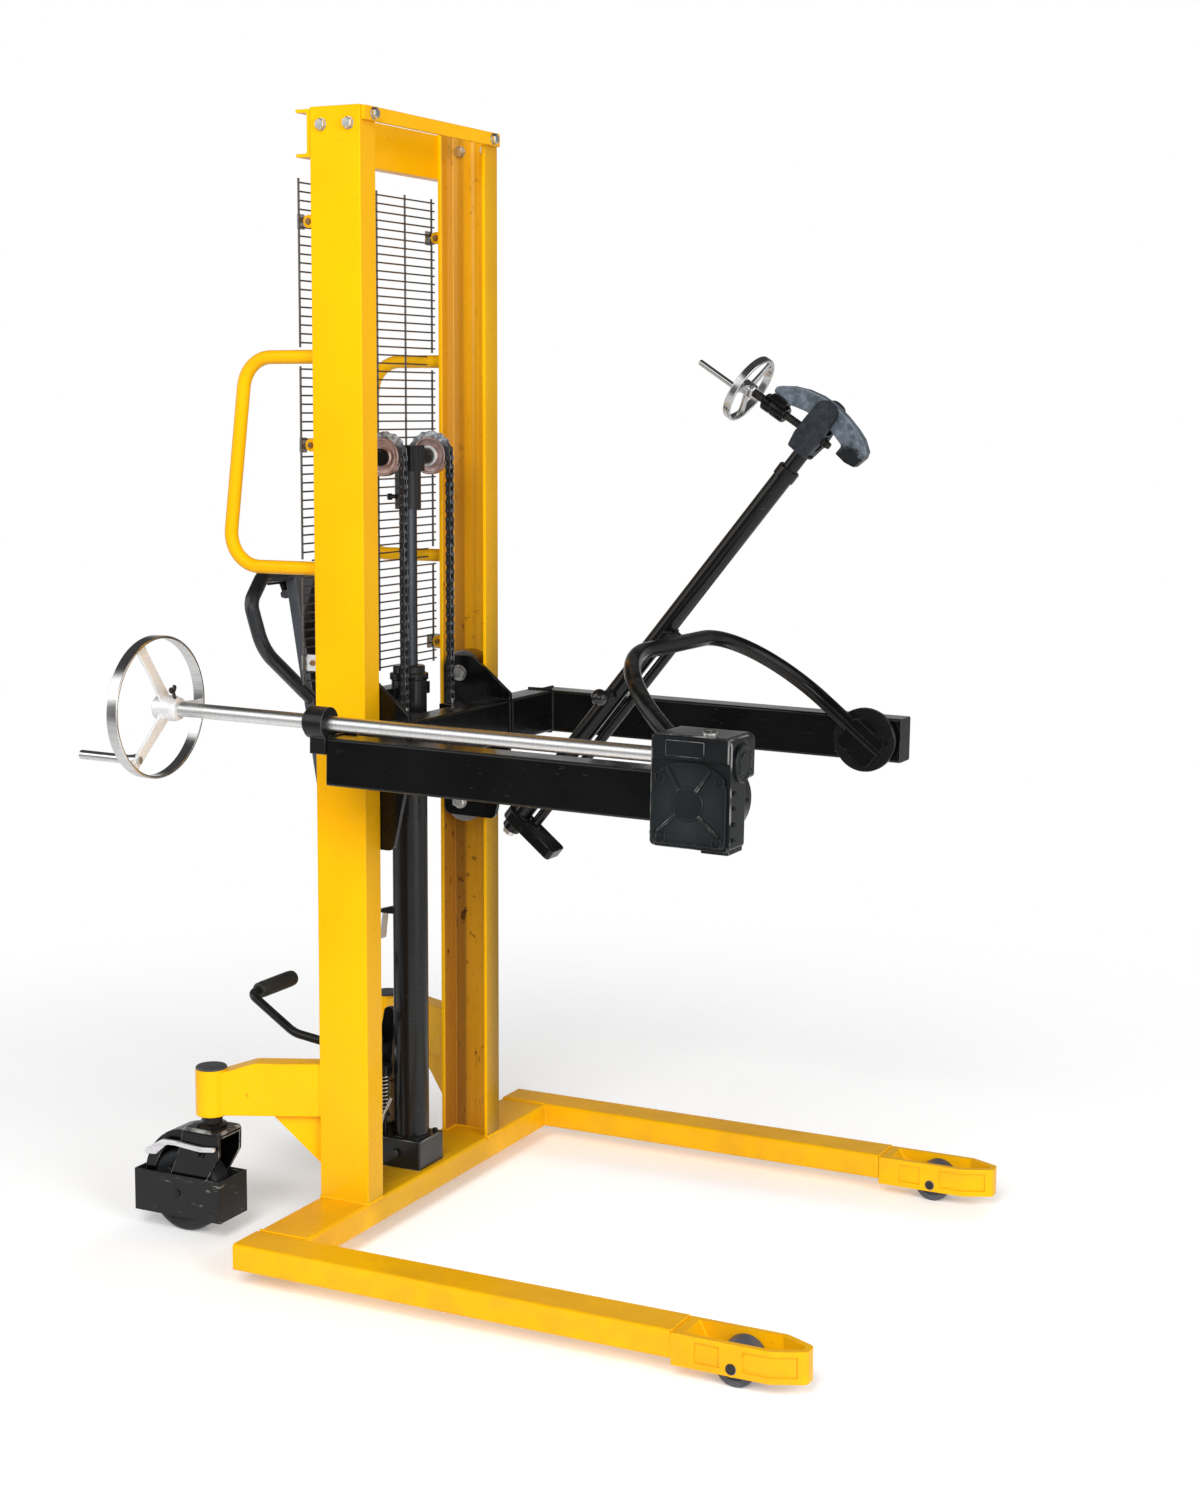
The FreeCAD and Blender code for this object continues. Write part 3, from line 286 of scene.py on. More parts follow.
def turned(name, centre, one, two, gloss, dull):
    """Steel faced on a lathe about an axis along Y: rings round the centre."""
    g = Graph(name)
    sub = g.new("ShaderNodeVectorMath", operation="SUBTRACT")
    g.link(g.where, sub.inputs[0])
    sub.inputs[1].default_value = centre
    flat = g.new("ShaderNodeVectorMath", operation="MULTIPLY")
    g.link(sub.outputs[0], flat.inputs[0])
    flat.inputs[1].default_value = (1.0, 0.0, 1.0)
    size = g.new("ShaderNodeVectorMath", operation="LENGTH")
    g.link(flat.outputs[0], size.inputs[0])
    ring = g.new("ShaderNodeCombineXYZ")
    g.link(size.outputs["Value"], ring.inputs[0])
    fine = g.noise(1500.0, 3.0, 0.6, ring.outputs[0])
    col = g.mix(g.span(fine, 0.3, 0.7), one, two)
    oil = g.times(g.span(g.noise(70.0, 4.0), 0.46, 0.70), 0.35)
    col = g.mix(oil, col, (0.085, 0.058, 0.045))
    edge_mark = g.times(g.edge(), g.span(g.noise(60.0, 3.0), 0.4, 0.6), 0.5)
    col = g.mix(edge_mark, col, (0.60, 0.56, 0.53))
    g.base(Base_Color=col, Metallic=0.9, Roughness=g.math("ADD", g.span(fine, 0.25, 0.75, gloss, dull), g.times(oil, 0.12)),
           Normal=g.bump(fine, 0.08, 0.0004))
    return g.mat


def forged(name, tip=None, shade=1.0):
    """Drop-forged steel with scale; the gripping tip is dipped black."""
    def tone(r, v, b):
        return (r * shade, v * shade, b * shade)
    g = Graph(name)
    coarse, fine = g.noise(85.0, 6.0, 0.62), g.noise(520.0, 4.0, 0.6)
    col = g.mix(g.span(coarse, 0.32, 0.68), tone(0.070, 0.086, 0.108), tone(0.165, 0.195, 0.232))
    col = g.mix(g.times(g.span(g.noise(28.0, 4.0), 0.52, 0.68), 0.45), col, tone(0.038, 0.045, 0.056))
    edge_mark = g.times(g.edge(), g.span(g.noise(60.0, 4.0), 0.38, 0.62), 0.6)
    col = g.mix(edge_mark, col, tone(0.24, 0.265, 0.30))
    rough = g.span(coarse, 0.3, 0.7, 0.42, 0.62)
    if tip is not None:
        gap = g.new("ShaderNodeVectorMath", operation="DISTANCE")
        g.link(g.where, gap.inputs[0])
        gap.inputs[1].default_value = tip
        dip = g.span(g.math("ADD", gap.outputs["Value"], g.span(g.noise(120.0, 3.0), 0.3, 0.7, -0.004, 0.004)), 0.0400, 0.0270)
        col = g.mix(dip, col, (0.007, 0.008, 0.010))
        rough = g.math("ADD", rough, g.times(dip, -0.12))
    g.base(Base_Color=col, Metallic=0.45, Roughness=rough,
           Normal=g.bump(fine, 0.10, 0.0005, g.bump(coarse, 0.25, 0.0012)))
    return g.mat


def polymer(name, one, two, gloss, dull, grain=600.0, depth=0.10, scuffs=0.25, pale=(0.09, 0.09, 0.09), coat=0.0):
    """Rubber, nylon or moulded plastic with scuffs."""
    g = Graph(name)
    col = g.mix(g.span(g.noise(16.0, 4.0), 0.34, 0.68), one, two)
    rub = g.times(g.span(g.noise(70.0, 6.0, 0.65), 0.56, 0.70), g.span(g.noise(12.0, 2.0), 0.42, 0.62), scuffs)
    col = g.mix(rub, col, pale)
    edge_mark = g.times(g.edge(), g.span(g.noise(45.0, 3.0), 0.4, 0.6), 0.30)
    col = g.mix(edge_mark, col, pale)
    g.base(Base_Color=col, Roughness=g.math("ADD", g.span(g.noise(24.0, 3.0), 0.3, 0.7, gloss, dull), g.times(rub, 0.2)),
           Coat_Weight=coat, Specular_IOR_Level=0.32, Normal=g.bump(g.noise(grain, 2.0), depth, 0.0004))
    return g.mat


CW = M0 @ Vector((-54.0, 0.0, 1378.0))
TIP = CRADLE @ Vector((-252.0, 0.0, 440.0))
YELLOW = yellow("yellow_enamel")
YELLOW_MAST = yellow("yellow_enamel_mast", True)
BLACK = black("black_enamel")
BLACK_SATIN = black("black_satin", 0.0046, 0.0088, 0.28, 0.42, 0.40, 0.28, 0.14)
# its raised edge values paint highlights on the cast edges on top of their wear
BLACK_CAST = black("black_cast", 0.0036, 0.0082, 0.28, 0.40, 0.30, 0.22, 0.26, 0.0, (0.78, 1.06, 1.24), 0.95, 0.20)
# raised edge values paint bright highlight lines on the caster fork's edges on top of their wear
BLACK_EDGE_HIGHLIT = black("black_worn_edge_highlit", edge_rub_and_highlight=0.90, edge_bare_and_highlight_tone=0.34)
BLACK_SCRAPED = black("black_scraped", 0.0130, 0.0210, 0.36, 0.52, 0.0, 0.30, 0.20, 0.75)
CHROME = metal("chrome_plate", (0.70, 0.70, 0.695), (0.56, 0.56, 0.56), 0.10, 0.24, (40.0, 500.0, 500.0), 0.03, (0.30, 0.285, 0.25), 0.35)
ALLOY = metal("satin_alloy", (0.90, 0.90, 0.905), (0.80, 0.80, 0.805), 0.34, 0.50, (300.0, 300.0, 300.0), 0.05, (0.64, 0.63, 0.61), 0.12, 0.55)
STRIP = metal("plated_strip", (0.74, 0.73, 0.765), (0.56, 0.55, 0.58), 0.22, 0.38, (60.0, 300.0, 420.0), 0.05, (0.30, 0.27, 0.25), 0.35, 0.7)
GROUND = metal("ground_bar", (0.80, 0.80, 0.795), (0.66, 0.66, 0.655), 0.28, 0.42, (900.0, 12.0, 12.0), 0.05, (0.36, 0.32, 0.26), 0.35)
ROD = metal("piston_chrome", (0.085, 0.088, 0.105), (0.055, 0.057, 0.068), 0.16, 0.30, (14.0, 14.0, 900.0), 0.03, (0.06, 0.055, 0.05), 0.55)
ZINC = metal("zinc_plate", (0.70, 0.70, 0.66), (0.56, 0.56, 0.53), 0.24, 0.42, (220.0, 220.0, 220.0), 0.06, (0.40, 0.36, 0.24), 0.40)
WIRE = metal("guard_wire", (0.19, 0.178, 0.172), (0.115, 0.108, 0.104), 0.28, 0.48, (240.0, 240.0, 240.0), 0.05, (0.10, 0.075, 0.05), 0.55)
CHAIN = metal("chain_steel", (0.050, 0.054, 0.058), (0.028, 0.030, 0.033), 0.26, 0.44, (400.0, 400.0, 400.0), 0.06, (0.020, 0.018, 0.016), 0.50, 0.7)
CHAIN_ROLL = metal("chain_roller", (0.20, 0.205, 0.22), (0.12, 0.125, 0.135), 0.20, 0.36, (400.0, 400.0, 400.0), 0.05, (0.05, 0.042, 0.036), 0.45, 0.8)
# painted reflection lightening the top of the chain's wrap over the pulleys
CHAIN_TOP = metal("chain_top_highlight", (0.060, 0.064, 0.070), (0.036, 0.038, 0.042), 0.26, 0.42, (400.0, 400.0, 400.0), 0.05, (0.05, 0.045, 0.04), 0.40, 0.5, ((0.62, 0.67, 0.74), 1.392, 1.408))
STEEL = metal("bare_steel", (0.42, 0.40, 0.38), (0.30, 0.285, 0.27), 0.26, 0.44, (260.0, 260.0, 260.0), 0.06, (0.12, 0.085, 0.06), 0.45)
DARK_PIN = metal("black_oxide", (0.050, 0.047, 0.044), (0.028, 0.026, 0.025), 0.30, 0.48, (300.0, 300.0, 300.0), 0.06, (0.07, 0.045, 0.03), 0.45, 0.8)
BRONZE = metal("gear_bronze", (0.48, 0.29, 0.11), (0.37, 0.21, 0.075), 0.24, 0.40, (300.0, 300.0, 300.0), 0.05, (0.14, 0.08, 0.03), 0.40)
PULLEY = turned("pulley_steel", tuple(CW), (0.66, 0.485, 0.455), (0.52, 0.370, 0.340), 0.30, 0.46)
FORGED = forged("forged_dark", None, 0.17)
FORGED_JAW = forged("forged_steel_jaw", tuple(TIP))
RUBBER = polymer("wheel_rubber", (0.010, 0.011, 0.013), (0.020, 0.022, 0.026), 0.40, 0.58, 500.0, 0.14, 0.35, (0.085, 0.08, 0.07))
ROLLER = polymer("roller_nylon", (0.055, 0.060, 0.075), (0.085, 0.092, 0.110), 0.30, 0.44, 500.0, 0.08, 0.45, (0.17, 0.17, 0.18))
HUB = polymer("wheel_hub", (0.020, 0.022, 0.026), (0.035, 0.038, 0.044), 0.34, 0.50, 500.0, 0.10, 0.30)
KNOB = polymer("knob_plastic", (0.006, 0.006, 0.0065), (0.011, 0.011, 0.012), 0.12, 0.22, 700.0, 0.03, 0.20, (0.05, 0.05, 0.05), 0.4)
GRIP = polymer("grip_rubber", (0.014, 0.014, 0.0125), (0.028, 0.028, 0.025), 0.36, 0.52, 520.0, 0.14, 0.40, (0.09, 0.088, 0.08))
CAP = polymer("cap_plastic", (0.030, 0.031, 0.034), (0.050, 0.052, 0.055), 0.36, 0.50, 420.0, 0.12, 0.30)
TILLER_GREY = polymer("tiller_enamel", (0.050, 0.056, 0.066), (0.075, 0.082, 0.094), 0.32, 0.46, 420.0, 0.06, 0.30, (0.15, 0.155, 0.165), 0.2)
LOOP_BLACK = polymer("loop_vinyl", (0.010, 0.011, 0.013), (0.020, 0.022, 0.026), 0.22, 0.34, 420.0, 0.06, 0.25, (0.07, 0.07, 0.07), 0.2)


# ------------------------------------------------------------ mesh helpers
def rounded(points, radii=0.0, n=6, closed=True):
    """Points with arcs in the corners."""
    pts = [Vector((*p, 0.0)) if len(p) == 2 else Vector(p) for p in points]
    out, last = [], len(pts) - 1
    for i, p in enumerate(pts):
        r = radii[i] if isinstance(radii, (list, tuple)) else radii
        if r <= 0 or (not closed and i in (0, last)):
            out.append(p.copy())
            continue
        a = (pts[i - 1] - p).normalized()
        b = (pts[(i + 1) % len(pts)] - p).normalized()
        half = a.angle(b) / 2.0
        c = p + (a + b).normalized() * (r / math.sin(half))
        s, e = p + a * (r / math.tan(half)) - c, p + b * (r / math.tan(half)) - c
        turn = s.angle(e)
        axis = s.cross(e)
        for k in range(n + 1):
            out.append(c + Matrix.Rotation(turn * k / n, 3, axis) @ s)
    return out


def rect(a0, a1, b0, b1):
    return [(a0, b0), (a1, b0), (a1, b1), (a0, b1)]


def soften(bm, width, seg=2, limit=30.0):
    """Rounds the sharp edges and marks them for the paint's wear and painted edge highlights."""
    edges = [e for e in bm.edges if len(e.link_faces) == 2 and e.calc_face_angle(0.0) > math.radians(limit)]
    if edges and width > 0:
        lay = bm.loops.layers.float.get("edge") or bm.loops.layers.float.new("edge")
        made = bmesh.ops.bevel(bm, geom=edges, offset=width, offset_type="OFFSET", segments=seg, profile=0.5,
                               affect="EDGES", clamp_overlap=True)
        for f in made["faces"]:
            for l in f.loops:
                l[lay] = 1.0
    return bm


def prism(outline, w0, w1, holes=(), holes_top=None):
    """Outline with holes, in uv, extruded along w."""
    bm = bmesh.new()
    loops = [[(p[0], p[1]) for p in q] for q in [outline, *holes]]
    tops = [loops[0]] + [[(p[0], p[1]) for p in q] for q in holes_top] if holes_top else loops
    low = [[bm.verts.new((u, v, w0)) for u, v in q] for q in loops]
    top = [[bm.verts.new((u, v, w1)) for u, v in q] for q in tops]
    for a, b in zip(low, top):
        for i in range(len(a)):
            j = (i + 1) % len(a)
            bm.faces.new((a[i], a[j], b[j], b[i]))
    if holes:
        caps = []
        for rings, flat in ((low, loops), (top, tops)):
            every = [v for q in rings for v in q]
            for t in tessellate_polygon([[Vector((u, v, 0.0)) for u, v in q] for q in flat]):
                caps.append(bm.faces.new([every[i] for i in t]))
        inner = {e for f in caps for e in f.edges if all(g in caps for g in e.link_faces)}
        bmesh.ops.dissolve_limit(bm, angle_limit=0.002, verts=[], edges=list(inner))
    else:
        bm.faces.new(low[0])
        bm.faces.new(top[0])
    bmesh.ops.recalc_face_normals(bm, faces=bm.faces)
    return bm


def block(x0, x1, y0, y1, z0, z1):
    return prism(rect(x0, x1, y0, y1), z0, z1)


def loft(rings):
    bm = bmesh.new()
    rows = [[bm.verts.new(p) for p in r] for r in rings]
    for a, b in zip(rows, rows[1:]):
        for i in range(len(a)):
            j = (i + 1) % len(a)
            bm.faces.new((a[i], a[j], b[j], b[i]))
    bm.faces.new(rows[0])
    bm.faces.new(rows[-1])
    bmesh.ops.recalc_face_normals(bm, faces=bm.faces)
    return bm


def lathe(profile, seg=48, ring=False):
    """Profile of (radius, height) turned about Z; ring joins its two ends."""
    bm = bmesh.new()
    rows = []
    for r, h in profile:
        if r < 1e-6:
            rows.append([bm.verts.new((0.0, 0.0, h))])
        else:
            rows.append([bm.verts.new((r * math.cos(2 * math.pi * k / seg), r * math.sin(2 * math.pi * k / seg), h)) for k in range(seg)])
    pairs = list(zip(rows, rows[1:])) + ([(rows[-1], rows[0])] if ring else [])
    for a, b in pairs:
        for i in range(seg):
            j = (i + 1) % seg
            if len(a) == 1 and len(b) == 1:
                continue
            if len(a) == 1:
                bm.faces.new((a[0], b[j], b[i]))
            elif len(b) == 1:
                bm.faces.new((a[i], a[j], b[0]))
            else:
                bm.faces.new((a[i], a[j], b[j], b[i]))
    bmesh.ops.recalc_face_normals(bm, faces=bm.faces)
    return bm


def rod(r, h0, h1, b=0.8, seg=32):
    return lathe([(0, h0), (r - b, h0), (r - b * 0.3, h0 + b * 0.3), (r, h0 + b), (r, h1 - b), (r - b * 0.3, h1 - b * 0.3), (r - b, h1), (0, h1)], seg)


def pipe(r, ri, h0, h1, b=0.6, seg=40):
    return lathe([(ri + b, h0), (r - b, h0), (r, h0 + b), (r, h1 - b), (r - b, h1), (ri + b, h1), (ri, h1 - b), (ri, h0 + b)], seg, True)


def sweep(path, r, seg=18, closed=False):
    """Round bar along a path; r may be a number or one radius per point."""
    pts = [Vector(p) for p in path]
    n = len(pts)
    radii = r if isinstance(r, (list, tuple)) else [r] * n
    tang = []
    for i in range(n):
        a = pts[i - 1] if (closed or i > 0) else pts[i]
        b = pts[(i + 1) % n] if (closed or i < n - 1) else pts[i]
        tang.append((b - a).normalized())
    side = tang[0].orthogonal().normalized()
    bm = bmesh.new()
    rows = []
    for i in range(n):
        if i:
            side = tang[i - 1].rotation_difference(tang[i]) @ side
        side = (side - tang[i] * side.dot(tang[i])).normalized()
        other = tang[i].cross(side)
        rows.append([bm.verts.new(pts[i] + (side * math.cos(2 * math.pi * k / seg) + other * math.sin(2 * math.pi * k / seg)) * radii[i]) for k in range(seg)])
    for a, b in list(zip(rows, rows[1:])) + ([(rows[-1], rows[0])] if closed else []):
        for i in range(seg):
            j = (i + 1) % seg
            bm.faces.new((a[i], a[j], b[j], b[i]))
    if not closed:
        bm.faces.new(rows[0])
        bm.faces.new(rows[-1])
    bmesh.ops.recalc_face_normals(bm, faces=bm.faces)
    return bm


def at(p, d, spin=0.0):
    """Frame at p with its Z axis along d."""
    q = Vector(d).normalized().to_track_quat("Z", "Y")
    return Matrix.Translation(p) @ q.to_matrix().to_4x4() @ Matrix.Rotation(math.radians(spin), 4, "Z")


def resample(path, step):
    pts = [Vector(p) for p in path]
    out = [pts[0]]
    for a, b in zip(pts, pts[1:]):
        k = max(1, int(round((b - a).length / step)))
        out += [a.lerp(b, (i + 1) / k) for i in range(k)]
    return out


def bead(path, r=3.0):
    """Weld bead: overlapping ripples laid along a corner."""
    pts = resample(path, r * 0.42)
    radii, out = [], []
    for i, p in enumerate(pts):
        wave = 0.5 + 0.5 * math.sin(2 * math.pi * i / 4.0)
        radii.append(r * (0.84 + 0.20 * wave + rnd.uniform(-0.05, 0.05)))
        out.append(p + Vector((rnd.uniform(-1, 1), rnd.uniform(-1, 1), rnd.uniform(-1, 1))) * (r * 0.05))
    radii[0], radii[-1] = r * 0.5, r * 0.5
    return sweep(out, radii, 10)


def carve(bm, *cutters):
    """bm with the other meshes cut out of it."""
    def lay(b, name):
        me = bpy.data.meshes.new(name)
        bmesh.ops.recalc_face_normals(b, faces=b.faces)
        b.to_mesh(me)
        b.free()
        o = bpy.data.objects.new(name, me)
        bpy.context.scene.collection.objects.link(o)
        return o
    body = lay(bm, "carve_body")
    tools = [lay(c, "carve_tool") for c in cutters]
    for t in tools:
        m = body.modifiers.new("cut", "BOOLEAN")
        m.operation, m.solver, m.object = "DIFFERENCE", "EXACT", t
    deps = bpy.context.evaluated_depsgraph_get()
    me = bpy.data.meshes.new_from_object(body.evaluated_get(deps))
    out = bmesh.new()
    out.from_mesh(me)
    for o in [body, *tools]:
        old = o.data
        bpy.data.objects.remove(o)
        bpy.data.meshes.remove(old)
    bpy.data.meshes.remove(me)
    bmesh.ops.remove_doubles(out, verts=out.verts, dist=0.004)
    bmesh.ops.dissolve_limit(out, angle_limit=math.radians(0.4), verts=out.verts, edges=out.edges)
    return out


class Piece:
    """One visible mesh, gathered from closed shells."""

    def __init__(self):
        self.bm = bmesh.new()
        self.bm.loops.layers.float.new("edge")

    def add(self, bm, place=None, mat=0, soft=0.0, seg=2, limit=30.0):
        if soft:
            soften(bm, soft, seg, limit)
        if place is not None:
            bm.transform(place)
        bmesh.ops.recalc_face_normals(bm, faces=bm.faces)
        for f in bm.faces:
            f.material_index = mat
        me = bpy.data.meshes.new("shell")
        bm.to_mesh(me)
        bm.free()
        self.bm.from_mesh(me)
        bpy.data.meshes.remove(me)
        return self

    def both(self, make, place=None, **how):
        """The near shell and its mirror image on the far side."""
        self.add(make(), place, **how)
        return self.add(make(), FLIP_Y @ place if place is not None else FLIP_Y, **how)

    def mesh(self, name, mats, where=M0, angle=40.0):
        self.bm.transform(where)
        me = bpy.data.meshes.new(name)
        self.bm.to_mesh(me)
        self.bm.free()
        for m in mats:
            me.materials.append(m)
        me.shade_smooth()
        me.set_sharp_from_angle(angle=math.radians(angle))
        ob = bpy.data.objects.new(name, me)
        bpy.context.scene.collection.objects.link(ob)
        mod = ob.modifiers.new("even_normals", "WEIGHTED_NORMAL")
        mod.keep_sharp = True
        mod.weight = 70
        return ob

    def make(self, name, mats, body, slot, stands_for=(), where=M0, angle=40.0):
        ob = self.mesh(name, mats if isinstance(mats, list) else [mats], where, angle)
        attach(ob, body)
        if stands_for:
            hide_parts(*([stands_for] if isinstance(stands_for, str) else stands_for))
        return ob


def refine(node, mat, slot, width=0.8, seg=2, merge=0.0, limit=28.0, angle=40.0):
    """The CAD node's own shape with its flats joined and its edges rounded."""
    bm = bmesh.new()
    bm.from_mesh(NODES[node].data)
    bmesh.ops.remove_doubles(bm, verts=bm.verts, dist=2e-6)
    bmesh.ops.dissolve_limit(bm, angle_limit=math.radians(0.6), verts=bm.verts, edges=bm.edges)
    if merge:
        bmesh.ops.remove_doubles(bm, verts=bm.verts, dist=merge * 0.001)
        bmesh.ops.dissolve_degenerate(bm, edges=bm.edges, dist=merge * 0.001)
    soften(bm, width * 0.001, seg, limit)
    p = Piece()
    p.add(bm)
    body = body_of(NODES[node])[0]
    return p.make(node + "_shape", mat, body, slot, node, Matrix.Identity(4), angle)


def hexagon(across, z, scale=1.0):
    r = across / math.sqrt(3.0) * scale
    return [(r * math.cos(math.radians(60 * k)), r * math.sin(math.radians(60 * k)), z) for k in range(6)]


def hex_bolt(p, place, across, h, mat=0, spin=0.0, washer=True):
    """Hexagon head with a chamfered top on its washer."""
    spun = place @ Matrix.Rotation(math.radians(spin), 4, "Z")
    z = 0.0
    if washer:
        a = across * 0.62
        p.add(lathe([(0, 0), (a - 0.3, 0), (a, 0.4), (a, 1.5), (a - 0.4, 1.8), (0, 1.8)], 32), spun, mat)
        z = 1.8
    p.add(loft([hexagon(across, z), hexagon(across, z + h * 0.78), hexagon(across, z + h, 0.86)]), spun, mat, soft=0.35)
    p.add(lathe([(0, z + h - 0.2), (across * 0.37, z + h - 0.2), (across * 0.36, z + h + 0.3), (0, z + h + 0.45)], 20), spun, mat)


def cap_screw(p, place, r, h, mat=0):
    """Round head with a socket."""
    p.add(lathe([(0, 0), (r, 0), (r, h - 0.7), (r - 0.7, h), (r * 0.52, h), (r * 0.50, h - 0.3), (r * 0.50, h * 0.35), (0, h * 0.35)], 24), place, mat)


# ------------------------------------------------------------ base and mast
refine("cross_beam", YELLOW, "yellow_paint", 1.2)
refine("legs", YELLOW, "yellow_paint", 0.8)
refine("mast_channel_near", YELLOW_MAST, "yellow_paint", 0.9)
refine("mast_channel_far", YELLOW_MAST, "yellow_paint", 0.9)
refine("mast_ties", YELLOW, "yellow_paint", 0.9)
# outriggers: a deep arm with a gusset under it, from the channel's rear flange to the swivel tube
p = Piece()
for s in (-1, 1):
    root, along = Vector((-100.0, s * 212.0, 0.0)), Vector((-188.0, s * 83.0, 0.0)).normalized()
    across = Vector((-along.y, along.x, 0.0))
    for outline, half, soft in ((rounded([(0, 219), (0, 314), (125, 314), (204, 290), (204, 218)], [0, 0, 40, 0, 0], 8), 19.0, 1.6),
                                (rounded([(0, 122), (101, 222), (0, 222)], 0, 2), 5.0, 1.0)):
        rings = []
        for t in (-half, half):
            skew = -across.x * t / along.x
            rings.append([root + along * (q.x if q.x > 1.0 else skew) + across * t + Vector((0, 0, q.y)) for q in outline])
        p.add(loft(rings), soft=soft)
    p.add(pipe(28.5, 16.08, 216, 300, 1.4, 64), Matrix.Translation((-288, s * 295, 0)))
p.make("outriggers_welded", YELLOW, "chassis", "yellow_paint", "outriggers")
refine("push_handles", YELLOW, "yellow_paint", 0.6)
refine("axle_pins", DARK_PIN, "zinc_bolts", 1.0)
refine("front_roller_near", ROLLER, "roller_nylon", 0.8)
refine("front_roller_far", ROLLER, "roller_nylon", 0.8)

p = Piece()


def yoke():
    outer = rounded([(705, -500), (868, -500), (920, -476), (920, -449), (868, -425), (705, -425)], [3, 20, 12, 12, 20, 3], 8)
    low = rounded([(752, -490), (864, -490), (909, -469.5), (909, -455.5), (864, -435), (752, -435)], [4, 14, 6, 6, 14, 4], 8)
    top = rounded([(724, -490), (864, -490), (909, -469.5), (909, -455.5), (864, -435), (724, -435)], [4, 14, 6, 6, 14, 4], 8)
    body = prism(outer, 22, 73, [low], [top])
    tools = []
    for y0, y1, s in ((-505, -497.0, -1), (-428.0, -420, 1)):
        tools.append(block(745, 786, y0, y1, 32, 64))
        # panel that follows the faceted nose
        tools.append(prism([(x, s * h - 462.5) for x, h in ((824, 34.5), (867.4, 34.5), (904.8, 17.2), (908.2, 24.5), (872, 45), (824, 45))], 32, 64))
    return carve(body, *tools)


p.both(yoke, soft=0.9, seg=2)
p.both(lambda: prism(rounded(rect(-494.5, -430.5, 35.5, 70.5), 2.5, 3), 655, 706), ON_X)
p.both(lambda: lathe([(9.05, -0.2), (12.5, -0.2), (12.2, 0.3), (11.6, 0.5), (9.05, 0.5)], 40, True), at((806, -500, 34), (0, -1, 0)))
p.make("leg_yokes_cast", YELLOW, "chassis", "yellow_paint", "leg_yokes")

p = Piece()
for s in (-1, 1):
    hex_bolt(p, at((8, s * 205, 1955), (1, 0, 0)), 17, 7, spin=rnd.uniform(0, 60))
    for x in (-76, -22):
        hex_bolt(p, at((x, s * 235, 1938), (0, s, 0)), 17, 7, spin=rnd.uniform(0, 60))
        hex_bolt(p, at((x, s * 229.7, 1938), (0, -s, 0)), 17, 8, spin=rnd.uniform(0, 60))
    for z in (1908, 1942):
        hex_bolt(p, at((-106, s * 212, z), (-1, 0, 0)), 17, 7, spin=rnd.uniform(0, 60))
p.make("frame_bolts_hex", ZINC, "chassis", "zinc_bolts", "frame_bolts")

# weld beads of the frame
p = Piece()
for s in (-1, 1):
    foot = [(0, -187, 76), (0, -232.5, 76), (-2.5, -235, 76), (-97.5, -235, 76), (-100, -232.5, 76), (-100, -187, 76)]
    p.add(bead([(x, -s * y, z) for x, y, z in foot], 3.4))
    inside = [(-7.5, -188, 76), (-7.5, -228, 76), (-92.5, -228, 76), (-92.5, -188, 76)]
    p.add(bead([(x, -s * y, z) for x, y, z in inside], 2.6))
    p.add(bead([(-1, s * 425, 33), (-1, s * 425, 73)], 3.0))
    p.add(bead([(-3, s * 425, 76.2), (-97, s * 425, 76.2)], 3.0))
    p.add(bead([(705, s * 429, 74.5), (705, s * 496, 74.5)], 2.4))
    p.add(bead([(705, s * 498.6, 71), (705, s * 498.6, 33)], 2.2))
    for z in (1780, 1400, 1023):
        p.add(bead([(-100, s * 207.5, z - 10), (-100, s * 207.5, z + 10)], 1.8))
    for z in (1551, 1187):
        ring = [(-100.3, s * (211 + 12.6 * math.cos(2 * math.pi * k / 24)), z + 12.6 * math.sin(2 * math.pi * k / 24)) for k in range(25)]
        p.add(bead(ring, 2.2))
    # outrigger plates on the channel's rear flange
    ux = 188.0 / math.hypot(188, 83)
    for t in (-19, 19):
        y = 212 + t / ux
        if y < 235:
            p.add(bead([(-100.4, s * y, 221), (-100.4, s * y, 312)], 2.8))
    p.add(bead([(-100.4, s * 194, 314), (-100.4, s * 232, 314)], 2.6))
    p.add(bead([(-100.4, s * 206, 126), (-100.4, s * 206, 217)], 2.2))
    p.add(bead([(-100.4, s * 217, 126), (-100.4, s * 217, 217)], 2.2))
p.make("frame_welds", YELLOW, "chassis", "yellow_paint")

# caps, guard clips
p = Piece()
for s in (-1, 1):
    p.add(lathe([(0, 300), (27.6, 300), (27.9, 300.6), (27.6, 302.6), (26.4, 304.0), (22.0, 304.6), (0, 305.0)], 56), Matrix.Translation((-288, s * 295, 0)))
p.make("swivel_caps", CAP, "chassis", "knob_plastic")

p = Piece()
for s in (-1, 1):
    for z in (1780, 1400, 1023):
        p.add(prism(rounded(rect(s * 211 - 11, s * 211 + 11, z - 13, z + 13), 2, 3), -136.4, -134.6), ON_X, soft=0.4)
        hex_bolt(p, at((-136.4, s * 211, z), (-1, 0, 0)), 8, 3.5, washer=False, spin=rnd.uniform(0, 60))
        p.add(rod(2.4, -136, -128.2, 0.3, 16), at((0, s * 211, z), (1, 0, 0)))
        for q in (-1, 1):
            hex_bolt(p, at((-117, s * 211.5 + q * 3.5, z), (0, q, 0)), 9, 3.6, 1, spin=rnd.uniform(0, 60))
    p.add(prism(rounded(rect(-130, -103, 1009, 1037), 2, 3), s * 215.7 - 0.7, s * 215.7 + 0.7), ON_Y, 2, soft=0.3)
p.make("guard_clips", [ZINC, BRONZE, ALLOY], "chassis", "zinc_bolts")

